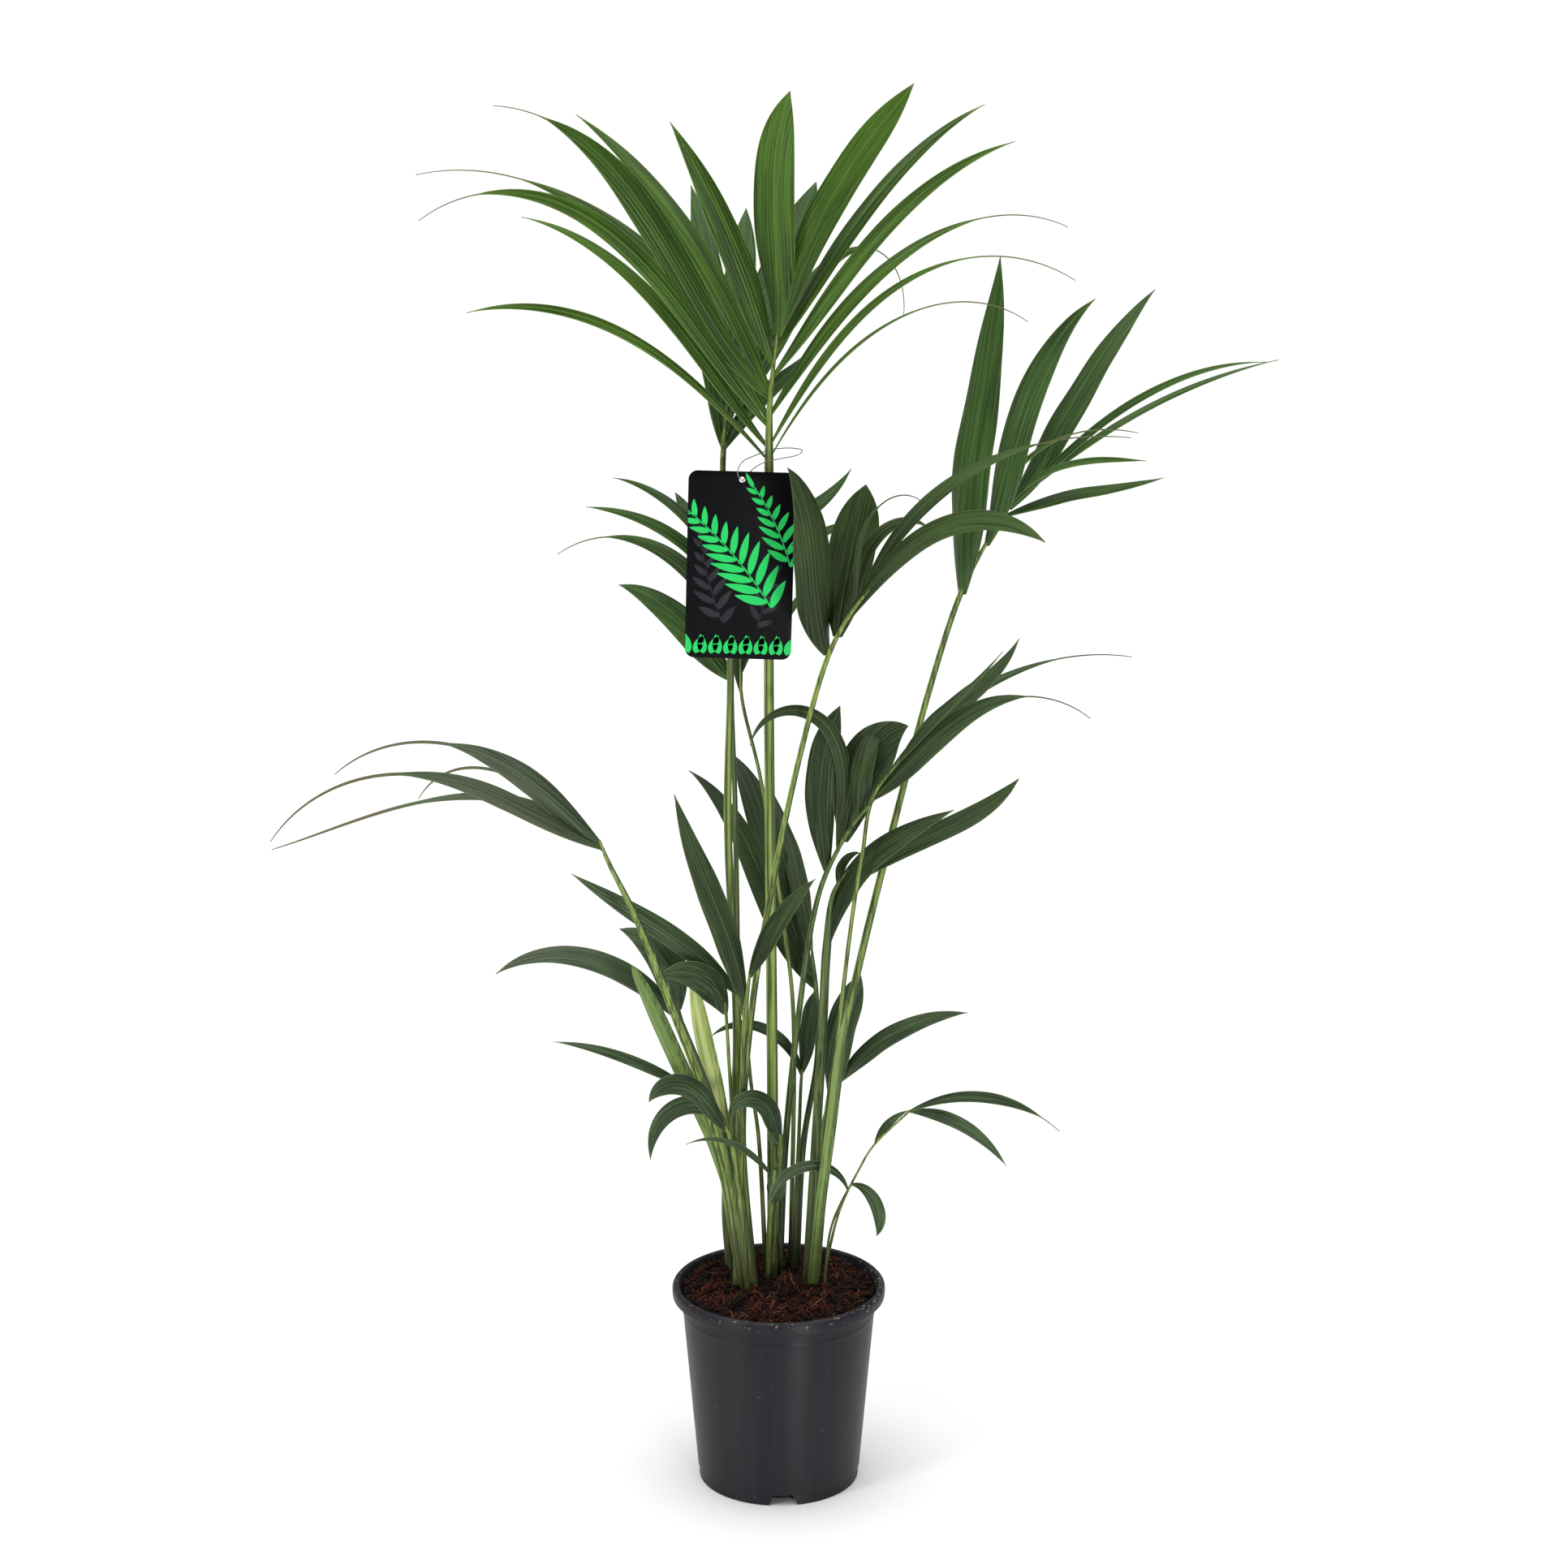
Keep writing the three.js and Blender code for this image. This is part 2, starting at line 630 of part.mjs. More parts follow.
// Radius of the pot's inner wall at a level.
function wallRadius(z) {
  const low = pot.footHeight + 0.7;
  const high = pot.height - pot.lipHeight - 1.4;
  const inside = pot.baseRadius - pot.wall;
  const share = (z - low) / (high - low);
  return inside + (pot.neckRadius - pot.wall - inside) * share;
}

function makePot() {
  const lip = pot.height - pot.lipHeight;
  const shelf = pot.footHeight + 0.7; // top of the ring over the drain channel
  const profile = [
    [0, 0], [pot.floorRadius, 0], [pot.floorRadius, shelf - pot.wall],
    [pot.footRadius - 2.6, shelf - pot.wall], [pot.footRadius - 2.6, 0], [pot.footRadius - 1, 0],
    [pot.footRadius, 1.4], [pot.footRadius, pot.footHeight - 0.8], [pot.baseRadius, pot.footHeight],
    [pot.neckRadius, lip - 1.8], [pot.rimRadius - 5.1, pot.height - 3.4],
    [pot.rimRadius - 3, pot.height - 3.4], [pot.rimRadius - 2.4, lip], [pot.rimRadius - 0.7, lip],
    [pot.rimRadius, lip + 3.2], [pot.rimRadius - 0.1, pot.height - 3.5],
    [pot.rimRadius - 1.4, pot.height - 0.8], [pot.rimRadius - 3.4, pot.height],
    [pot.mouthRadius + 1.1, pot.height - 0.6], [pot.mouthRadius, pot.height - 2.4],
    [wallRadius(lip - 1.4), lip - 1.4], [wallRadius(shelf), shelf],
    [pot.floorRadius - pot.wall, shelf], [pot.floorRadius - pot.wall, pot.wall], [0, pot.wall],
  ];
  let body = toManifold(turned(profile));
  const high = shelf - pot.wall - 0.2;
  for (let k = 0; k < pot.notchCount; k += 1) {
    const half = new THREE.Shape([
      new THREE.Vector2(-pot.notchBottom / 2, -1),
      new THREE.Vector2(pot.notchBottom / 2, -1),
      new THREE.Vector2(pot.notchTop / 2, high),
      new THREE.Vector2(-pot.notchTop / 2, high),
    ]);
    const notch = new THREE.ExtrudeGeometry(half, { depth: 12, bevelEnabled: false });
    notch.rotateX(Math.PI / 2);
    notch.translate(pot.notchShift, -(pot.footRadius - 8), 0);
    notch.rotateZ((2 * Math.PI * k) / pot.notchCount);
    body = body.subtract(toManifold(notch));
  }
  return toGeometry(body);
}

function makeSoil() {
  const shelf = pot.footHeight + 0.7 + gap;
  const floor = pot.wall + gap;
  const profile = [
    [0, floor], [pot.floorRadius - pot.wall - gap, floor], [pot.floorRadius - pot.wall - gap, shelf],
    [wallRadius(shelf) - 2 * gap, shelf], [wallRadius(170) - 2 * gap, 170],
    [wallRadius(soil.edge) - 2 * gap, soil.edge], [soil.plateauRadius + 14, soil.edge + 4],
    [soil.plateauRadius, soil.top], [0, soil.top],
  ];
  const { x, y, radius } = soil.lump;
  const lump = new THREE.IcosahedronGeometry(radius, 1);
  lump.scale(1.2, 0.9, 0.85);
  lump.translate(x, y, soil.top);
  return fuse([turned(profile), indexed(lump)]);
}

function indexed(geometry) {
  const bare = new THREE.BufferGeometry();
  bare.setAttribute('position', geometry.getAttribute('position'));
  return mergeVertices(bare, 1e-4);
}

addPiece('pot', makePot(), finish.pot);
addPiece('soil', makeSoil(), finish.soil);

// ---------------------------------------------------------------- tag and string

function makeTag() {
  const { width, height, corner, thickness, holeRadius, holeDrop } = tag;
  const shape = new THREE.Shape();
  const right = width / 2;
  const top = height / 2;
  shape.moveTo(-right + corner, -top);
  shape.absarc(right - corner, -top + corner, corner, -Math.PI / 2, 0, false);
  shape.absarc(right - corner, top - corner, corner, 0, Math.PI / 2, false);
  shape.absarc(-right + corner, top - corner, corner, Math.PI / 2, Math.PI, false);
  shape.absarc(-right + corner, -top + corner, corner, Math.PI, 1.5 * Math.PI, false);
  const hole = new THREE.Path();
  hole.absarc(0, top - holeDrop, holeRadius, 0, 2 * Math.PI, true);
  shape.holes.push(hole);
  const card = new THREE.ExtrudeGeometry(shape, { depth: thickness, bevelEnabled: false, curveSegments: 5 });
  card.translate(0, 0, -thickness / 2);
  card.rotateX(Math.PI / 2);
  card.rotateY(tag.lean * degrees);
  card.translate(...tag.centre);
  return toGeometry(toManifold(indexed(card)));
}

// Closed loop from the tag's hole, behind the top frond's rib and back in front of it.
const stringRoute = [
  [-29.5, -25, 915], [-34, -25, 921], [-31, -16, 929], [-18, 0, 933], [-6, 13, 935], [11, 9, 937],
  [20, 0, 936.5], [16, -7, 934], [0, -9, 931], [-13, -11, 928], [-22, -15, 923], [-29.5, -19, 915],
];

function makeString() {
  const line = lineThrough(stringRoute, true);
  const steps = stringRoute.length * 2;
  const rings = [];
  let front = new THREE.Vector3(0, 0, 1);
  for (let i = 0; i < steps; i += 1) {
    const tangent = line.getTangent(i / steps);
    front = squareTo(tangent, front);
    const side = new THREE.Vector3().crossVectors(front, tangent);
    rings.push(sectionRing(line.getPoint(i / steps), side, front, stringRadius, stringRadius, 5));
  }
  return loft(rings, true);
}

addPiece('tag', makeTag(), finish.tag);
addPiece('tag_string', makeString(), finish.string);

export default kentia;
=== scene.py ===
# Kentia palm in its black nursery pot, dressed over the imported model: fine leaflets, channelled
# petioles, the pot with its coir soil, and the plant tag. Tables are in millimetres and degrees.
import bpy
import bmesh
import math
import random
from bisect import bisect_right
from mathutils import Matrix, Vector, noise


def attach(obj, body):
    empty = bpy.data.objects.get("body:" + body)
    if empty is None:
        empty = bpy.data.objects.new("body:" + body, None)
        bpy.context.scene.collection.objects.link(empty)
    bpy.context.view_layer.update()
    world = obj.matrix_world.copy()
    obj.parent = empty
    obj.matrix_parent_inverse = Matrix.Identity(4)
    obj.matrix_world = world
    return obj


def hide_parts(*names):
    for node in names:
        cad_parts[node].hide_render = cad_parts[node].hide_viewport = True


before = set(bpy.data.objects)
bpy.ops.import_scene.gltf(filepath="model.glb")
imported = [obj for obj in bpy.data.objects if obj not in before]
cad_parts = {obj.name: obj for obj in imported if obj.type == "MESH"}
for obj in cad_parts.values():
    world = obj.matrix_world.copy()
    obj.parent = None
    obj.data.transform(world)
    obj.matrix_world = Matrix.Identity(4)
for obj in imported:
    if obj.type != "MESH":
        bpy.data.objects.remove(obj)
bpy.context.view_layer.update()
mm = 0.001
fullTurn = 6.28  # radians, for random headings
print("frame loaded")

# The studio comes first: camera, soft lights and a pale floor.

studio = {
    "cameraPlace": (4.7, -3200, 1536),
    "cameraDown": 15.55,  # degrees below level
    "lens": 88.58,
    "sensor": 36,
    "clipEnd": 200,
    "floorRadius": 30000,
    "worldColour": "#f4f7f4",
    "worldStrength": 0.32,
    "skyPower": 2.75,  # a wide soft sun from above keeps the paper white
    "skyAngle": 70,
    "skyTurn": -3,  # degrees about X
    "floorColour": "#f7f9f6",
    "floorCloud": "#fbfcfa",
}
softLights = [
    {"name": "keyLeft", "at": (-2300, -1900, 1500), "aim": (0, 0, 600), "size": (600, 2300), "power": 30},
    {"name": "fillRight", "at": (1080, -2480, 300), "aim": (0, 0, 100), "size": (240, 580), "power": 26},
]


def toLinear(hexColour):
    channels = [int(hexColour[i:i + 2], 16) / 255 for i in (1, 3, 5)]
    linear = [c / 12.92 if c <= 0.04045 else ((c + 0.055) / 1.055) ** 2.4 for c in channels]
    return (*linear, 1.0)


def addNode(material, kind, settings=None, inputs=None):
    # a node or socket in inputs is linked, and any other value is set
    tree = material.node_tree
    node = tree.nodes.new("ShaderNode" + kind)
    for key, value in (settings or {}).items():
        setattr(node, key, value)
    for key, value in (inputs or {}).items():
        if isinstance(value, bpy.types.Node):
            value = value.outputs[0]
        if isinstance(value, bpy.types.NodeSocket):
            tree.links.new(value, node.inputs[key])
        else:
            node.inputs[key].default_value = value
    return node


def newMaterial(name):
    material = bpy.data.materials.new(name)
    material.use_nodes = True
    material.node_tree.nodes.clear()
    return material, addNode(material, "TexCoord").outputs["Object"]


def layTints(material, look, masks):
    # each mask runs from nothing at its first value to its share at the second
    colour = toLinear(look["colour"])
    for source, start, end, most, tint in masks:
        mask = addNode(material, "MapRange", {"interpolation_type": "SMOOTHSTEP"}, {
            "Value": source, "From Min": start, "From Max": end, "To Max": most})
        colour = addNode(material, "Mix", {"data_type": "RGBA"}, {
            0: mask, 6: colour, 7: toLinear(look[tint])}).outputs[2]
    return colour


def finishSurface(material, surface, relief=None):
    # surface holds the sockets of the Principled shader, and relief those of a bump
    if relief:
        surface["Normal"] = addNode(material, "Bump", inputs=relief)
    shader = addNode(material, "BsdfPrincipled", inputs=surface)
    addNode(material, "OutputMaterial", inputs={"Surface": shader})
    return material


def newObject(name, data):
    thing = bpy.data.objects.new(name, data)
    bpy.context.scene.collection.objects.link(thing)
    return thing


def toMesh(name, bm):
    mesh = bpy.data.meshes.new(name)
    bm.to_mesh(mesh)
    bm.free()
    return mesh


def addPiece(name, bm, materials, nodes, sharpAngle=50):
    mesh = toMesh(name, bm)
    mesh.shade_smooth()
    mesh.set_sharp_from_angle(angle=math.radians(sharpAngle))
    for material in materials:
        mesh.materials.append(material)
    piece = newObject(name, mesh)
    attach(piece, "root")
    if nodes:
        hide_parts(*nodes)
    return piece


def carve(piece, cutter):
    # takes the cutter's shape out of the piece for good
    tool = newObject("cutter", toMesh("cutter", cutter))
    cut = piece.modifiers.new("cut", "BOOLEAN")
    cut.operation = "DIFFERENCE"
    cut.object = tool
    cut.solver = "EXACT"
    bpy.context.view_layer.update()
    carved = piece.evaluated_get(bpy.context.evaluated_depsgraph_get())
    carved = bpy.data.meshes.new_from_object(carved)
    piece.modifiers.clear()
    piece.data = carved
    bpy.data.objects.remove(tool)


def setMaterial(verts, index):
    for face in {face for vert in verts for face in vert.link_faces}:
        face.material_index = index


def makeFloorFinish():
    # Matt studio paper, sprayed white: no grain shows, and its tone drifts over about 0.7 m.
    material, coords = newMaterial("studioPaper")
    cloud = addNode(material, "TexNoise", inputs={"Vector": coords, "Scale": 1.5})
    colour = addNode(material, "Mix", {"data_type": "RGBA"}, {
        0: cloud, 6: toLinear(studio["floorColour"]), 7: toLinear(studio["floorCloud"])}).outputs[2]
    return finishSurface(material, {"Base Color": colour, "Roughness": 0.9, "Specular IOR Level": 0.1})


def makeStudio():
    scene = bpy.context.scene
    cameraData = bpy.data.cameras.new("camera")
    cameraData.lens = studio["lens"]
    cameraData.sensor_width = studio["sensor"]
    cameraData.clip_end = studio["clipEnd"]
    camera = newObject("camera", cameraData)
    camera.location = Vector(studio["cameraPlace"]) * mm
    camera.rotation_euler = (math.radians(90 - studio["cameraDown"]), 0, 0)
    scene.camera = camera
    scene.view_settings.view_transform = "Standard"

    for light in softLights:
        lightData = bpy.data.lights.new(light["name"], "AREA")
        lightData.shape = "RECTANGLE"
        lightData.size, lightData.size_y = [side * mm for side in light["size"]]
        lightData.energy = light["power"]
        lamp = newObject(light["name"], lightData)
        lamp.location = Vector(light["at"]) * mm
        aim = Vector(light["aim"]) * mm - lamp.location
        lamp.rotation_euler = aim.to_track_quat("-Z", "Y").to_euler()

    skyData = bpy.data.lights.new("softSky", "SUN")
    skyData.energy = studio["skyPower"]
    skyData.angle = math.radians(studio["skyAngle"])
    newObject("softSky", skyData).rotation_euler = (math.radians(studio["skyTurn"]), 0, 0)

    world = bpy.data.worlds.new("studioWorld")
    world.use_nodes = True
    background = world.node_tree.nodes["Background"]
    background.inputs["Color"].default_value = toLinear(studio["worldColour"])
    background.inputs["Strength"].default_value = studio["worldStrength"]
    scene.world = world

    bm = bmesh.new()
    bmesh.ops.create_circle(bm, cap_ends=True, segments=64, radius=studio["floorRadius"] * mm)
    floor = newObject("floor", toMesh("floor", bm))
    floor.data.materials.append(makeFloorFinish())


makeStudio()
print("studio ready")

# Lines: every stalk follows a smooth line through the points of its route.

lineSteps = 24  # samples from one route point to the next
sinkDepth = 8  # how far a stalk's foot goes below the soil


def smoothLine(route, closed=False):
    # centripetal curve through the route, as close points with the length up to each
    stops = [Vector(stop) * mm for stop in route]
    count = len(stops)
    points = [stops[0].copy()]
    for i in range(count if closed else count - 1):
        b, c = stops[i], stops[(i + 1) % count]
        a = stops[i - 1] if i > 0 or closed else 2 * b - c
        d = stops[(i + 2) % count] if closed or i + 2 < count else 2 * c - b
        u, v, w = [max(1e-6, (q - p).length) ** 0.5 for p, q in ((a, b), (b, c), (c, d))]
        leave = ((b - a) / u - (c - a) / (u + v) + (c - b) / v) * v
        arrive = ((c - b) / v - (d - b) / (v + w) + (d - c) / w) * v
        for k in range(1, lineSteps + 1):
            t = k / lineSteps
            bend = -3 * b + 3 * c - 2 * leave - arrive
            turn = 2 * b - 2 * c + leave + arrive
            points.append(b + leave * t + bend * t ** 2 + turn * t ** 3)
    lengths = [0.0]
    for p, q in zip(points, points[1:]):
        lengths.append(lengths[-1] + (q - p).length)
    return {"points": points, "lengths": lengths, "length": lengths[-1]}


def pointAt(line, share):
    points, lengths = line["points"], line["lengths"]
    reach = min(max(share, 0), 1) * line["length"]
    i = min(max(bisect_right(lengths, reach) - 1, 0), len(points) - 2)
    span = lengths[i + 1] - lengths[i]
    return points[i].lerp(points[i + 1], (reach - lengths[i]) / max(span, 1e-9))


def shareAt(line, routeIndex):
    return line["lengths"][lineSteps * routeIndex] / line["length"]


def squareTo(tangent, wanted):
    # the direction nearest to wanted that is square to the tangent
    return (wanted - tangent * wanted.dot(tangent)).normalized()


def sunk(route):
    x, y, z = route[0]
    return [(x, y, z - sinkDepth), *route[1:]]


def smoothStep(low, high, value):
    t = min(max((value - low) / (high - low), 0), 1)
    return t * t * (3 - 2 * t)


limbShape = {
    "sides": 20,
    "step": 7,  # from one ring of faces to the next
    "leastSteps": 6,
    "near": 0.004,  # share of the line over which its direction is taken
    "flat": 0.86,
    "valleys": (52, 128),  # degrees round the limb
    "valleyWidth": 17,
    "valleyDepth": 0.13,
}
limbLayers = ("front", "beside", "tone")  # front is 1 on the side that faces forward, -1 behind
forward = Vector((0, -1, 0))


def newGridMesh(layers):
    bm = bmesh.new()
    for layer in layers:
        bm.verts.layers.float.new(layer)
    return bm


def addLimb(bm, line, sectionAt, facing=forward, tone=0.5, finish=0):
    # a grid wrapped round the line: x goes round it and y along it
    near = limbShape["near"]
    steps = max(limbShape["leastSteps"], round(line["length"] / (limbShape["step"] * mm)))
    grid = bmesh.ops.create_grid(bm, x_segments=limbShape["sides"], y_segments=steps, size=0.5)["verts"]
    front, beside, toneLayer = [bm.verts.layers.float[name] for name in limbLayers]
    rings = []
    for i in range(steps + 1):
        share = i / steps
        tangent = (pointAt(line, share + near) - pointAt(line, share - near)).normalized()
        ahead = squareTo(tangent, facing)
        rings.append((pointAt(line, share), ahead.cross(tangent), ahead, share))
    for vert in grid:
        centre, side, ahead, along = rings[round((vert.co.y + 0.5) * steps)]
        turn = (vert.co.x + 0.5) * 2 * math.pi
        across, depth = sectionAt(along, turn)
        vert.co = centre + side * across + ahead * depth
        vert[front] = math.sin(turn)
        vert[beside] = math.cos(turn)
        vert[toneLayer] = tone
    setMaterial(grid, finish)
    bmesh.ops.remove_doubles(bm, verts=grid, dist=1e-6)
    closeEnds(bm)


def closeEnds(bm):
    bmesh.ops.holes_fill(bm, edges=[edge for edge in bm.edges if edge.is_boundary], sides=0)


def petioleSection(widths, neck, flat):
    # oval with a shallow channel on each side of a raised middle, as on the real stalk
    foot, middle, tip = widths

    def sectionAt(along, turn):
        if along < neck:
            width = foot + (middle - foot) * along / neck
        else:
            width = middle + (tip - middle) * (along - neck) / max(1 - neck, 1e-6)
        half = width / 2 * mm
        channel = 0
        for valley in limbShape["valleys"]:
            away = (turn - math.radians(valley)) / math.radians(limbShape["valleyWidth"])
            channel += limbShape["valleyDepth"] * math.exp(-away ** 2)
        return math.cos(turn) * half, math.sin(turn) * half * flat * (1 - channel)
    return sectionAt

# Leaflets: each one is a grid laid along its own arching line.

blade = {
    "across": 8,  # grid faces from edge to edge
    "along": 44,
    "thickness": 0.45,
    "baseShare": 0.22,  # width at the root as a share of the full width
    "early": 0.05,  # a leaflet has its full width this much before its widest place
    "thread": 1.6,  # width where a leaflet runs out into a thread
    "threadTip": 0.7,
    "cup": 0.3,  # how far the leaflets of a frond turn in towards its rib
    "foldRoot": 38,  # degrees each half falls away from the midrib at the root
    "foldMiddle": 11,
    "foldEnd": 0.45,  # share of the length where the root's fold has opened
    "bulge": 0.64,  # arch of each half between midrib and margin
    "ripple": 0.05,  # waviness of the margins as a share of the half width
    "rippleLag": 1.3,  # one margin's waves run this far behind the other's, in radians
    "waves": (2.2, 3.6),
    "rippleGrows": (0.05, 0.3),  # shares of the length
    "twist": 9,  # most that a leaflet turns about its own line
    "ribFrom": 0.03,  # the leaflets stand on this stretch of the rib
    "ribShare": 0.95,
    "dryFrom": 0.9,  # share of the length where the tip begins to dry
    "dryTo": 1.06,
}
# Where along a leaflet it is widest, where it ends, and how blunt it is.
outlines = {
    "lance": {"widest": 0.4, "end": 1, "power": 2},
    "blunt": {"widest": 0.55, "end": 1, "power": 3.2},
    "late": {"widest": 0.6, "end": 1, "power": 2},
    "tail": {"widest": 0.5, "end": 0.88, "power": 1.7},  # runs out into a short thread
    "whip": {"widest": 0.34, "end": 0.76, "power": 1.6},
    "lash": {"widest": 0.32, "end": 0.64, "power": 1.5, "thread": 3.4},
}


def leafWidth(s, width, outline):
    # width along a leaflet in millimetres
    grow = min(1, s / (outline["widest"] - blade["early"]))
    fade = min(1, max(0, (s - outline["widest"]) / (outline["end"] - outline["widest"])))
    full = blade["baseShare"] + (1 - blade["baseShare"]) * grow * (2 - grow)
    thread = outline.get("thread", blade["thread"])
    thread += (blade["threadTip"] - thread) * s ** 4
    return max(thread, width * full * (1 - fade ** outline["power"]))


def slopeAt(s, root, middle, tip):
    # angle above level along a leaflet
    return math.radians(root * (1 - s) * (1 - 2 * s) + 4 * middle * s * (1 - s) + tip * s * (2 * s - 1))


leafLayers = ("across", "rim", "reach", "dryness", "tone")


def addLeaflet(bm, base, facing, row, rng):
    _, heading, root, middle, tip, length, width = row[:7]
    outline = outlines[row[7] if len(row) > 7 else "lance"]
    out = Vector((math.cos(math.radians(heading)), math.sin(math.radians(heading)), 0))
    up = Vector((0, 0, 1))
    cross = Vector((-facing.y, facing.x, 0)).normalized()
    wanted = facing - cross * blade["cup"] * (1 if out.dot(cross) > 0 else -1)
    twist = math.radians(rng.uniform(-1, 1) * blade["twist"])
    phase, waves = rng.uniform(0, fullTurn), rng.uniform(*blade["waves"])
    tone = rng.random()
    count = blade["along"]
    centre, stations = base.copy(), []
    for i in range(count + 1):
        s = i / count
        angle = slopeAt(s, root, middle, tip)
        tangent = out * math.cos(angle) + up * math.sin(angle)
        ahead = squareTo(tangent, wanted)
        ahead = Matrix.Rotation(twist * math.sin(math.pi * s), 3, tangent) @ ahead
        half = leafWidth(s, width, outline) / 2 * mm
        opened = 1 - smoothStep(0, blade["foldEnd"], s)
        fold = math.radians(blade["foldMiddle"] + (blade["foldRoot"] - blade["foldMiddle"]) * opened)
        stations.append((centre.copy(), tangent.cross(ahead), ahead, half, fold, s))
        later = slopeAt(s + 0.5 / count, root, middle, tip)
        centre += (out * math.cos(later) + up * math.sin(later)) * length * mm / count
    layers = [bm.verts.layers.float[name] for name in leafLayers]
    grid = bmesh.ops.create_grid(bm, x_segments=blade["across"], y_segments=count, size=0.5)["verts"]
    for vert in grid:
        u = vert.co.x * 2
        place, side, ahead, half, fold, s = stations[round((vert.co.y + 0.5) * count)]
        arch = blade["bulge"] * (1 - abs(u)) * abs(u)
        lag = blade["rippleLag"] if u > 0 else 0
        wave = blade["ripple"] * u * u * math.sin(2 * math.pi * waves * s + phase + lag)
        drop = (arch - abs(u)) * math.sin(fold) + wave * smoothStep(*blade["rippleGrows"], s)
        vert.co = place + side * (u * half * (0.5 + 0.5 * math.cos(fold))) + ahead * (drop * half)
        dryness = smoothStep(blade["dryFrom"], blade["dryTo"], s / outline["end"])
        for layer, value in zip(layers, (u * half / mm, (1 - abs(u)) * half / mm, s, dryness, tone)):
            vert[layer] = value
    bmesh.ops.remove_doubles(bm, verts=grid, dist=2e-6)


def leafFinish(name, look):
    # Cuticle of a palm leaflet: a thin wax film over fine parallel veins gives a soft satin streak.
    # The veins stand 1.3 mm apart on the plant and are drawn at veinGap, so that they show.
    material, coords = newMaterial(name)
    across, rim, reach, dryness, tone = [
        addNode(material, "Attribute", {"attribute_name": layer}).outputs["Fac"] for layer in leafLayers]
    # clouds of 45 mm, and darker patches of 110 by 200 mm
    cloud = addNode(material, "TexNoise", inputs={"Vector": coords, "Scale": 22.0, "Detail": 3.0})
    wide = addNode(material, "Mapping", inputs={"Vector": coords, "Scale": (9.0, 9.0, 5.0)})
    patches = addNode(material, "TexNoise", inputs={"Vector": wide, "Scale": 1.0, "Detail": 2.0})
    beside = addNode(material, "Math", {"operation": "ABSOLUTE"}, {0: across})
    turns = addNode(material, "Math", {"operation": "MULTIPLY"}, {
        0: across, 1: 2 * math.pi / look["veinGap"]})
    veins = addNode(material, "Math", {"operation": "SINE"}, {0: turns})
    # uneven streaks between the veins: about 1.5 mm wide and a third of the leaflet long
    spread = addNode(material, "CombineXYZ", inputs={0: across, 1: reach, 2: tone})
    drawn = addNode(material, "VectorMath", {"operation": "MULTIPLY"}, {0: spread, 1: (0.65, 3.0, 40.0)})
    streaks = addNode(material, "TexNoise", inputs={"Vector": drawn, "Scale": 1.0, "Detail": 2.0})

    masks = [
        (cloud, 0.35, 0.7, 0.5, "light"), (tone, 0.5, 1.0, 0.55, "light"),
        # the reach masks paint light and shade: each leaflet is painted lighter along its outer half, as
        # a painted sheen, and darker towards its root
        (tone, 0.45, 0.0, 0.5, "shade"), (reach, 0.35, 0.8, 0.45, "light"),
        (reach, 0.5, 0.08, 0.7, "shade"), (patches, 0.45, 0.62, 0.6, "shade"),
        (reach, 0.12, 0.0, 0.5, "base"),
        (veins, 0.2, 1.0, look["veinShow"], "vein"), (streaks, 0.52, 0.66, 0.55, "vein"),
        (streaks, 0.48, 0.34, 0.6, "dark"), (beside, look["midrib"], 0.25, 0.22, "rib"),
        (rim, 0.9, 0.25, 0.8, "margin"), (dryness, 0.3, 1.0, 0.85, "dry")]
    if "paintedLightSpan" in look:  # painted light: the leaflets at one side of the plant, picked by their x place, are painted paler
        outwards = addNode(material, "SeparateXYZ", inputs={0: coords})
        masks.insert(6, (outwards, *look["paintedLightSpan"], "paintedLight"))
    height = addNode(material, "Math", {"operation": "MULTIPLY_ADD"}, {0: streaks, 1: 3.0, 2: veins})
    rough = addNode(material, "MapRange", inputs={
        "Value": cloud, "To Min": look["rough"] - 0.06, "To Max": look["rough"] + 0.08})
    return finishSurface(material, {"Base Color": layTints(material, look, masks), "Roughness": rough,
                                    "IOR": 1.45, "Specular IOR Level": 0.22},
                         {"Strength": look["relief"], "Distance": 0.0003, "Height": height})


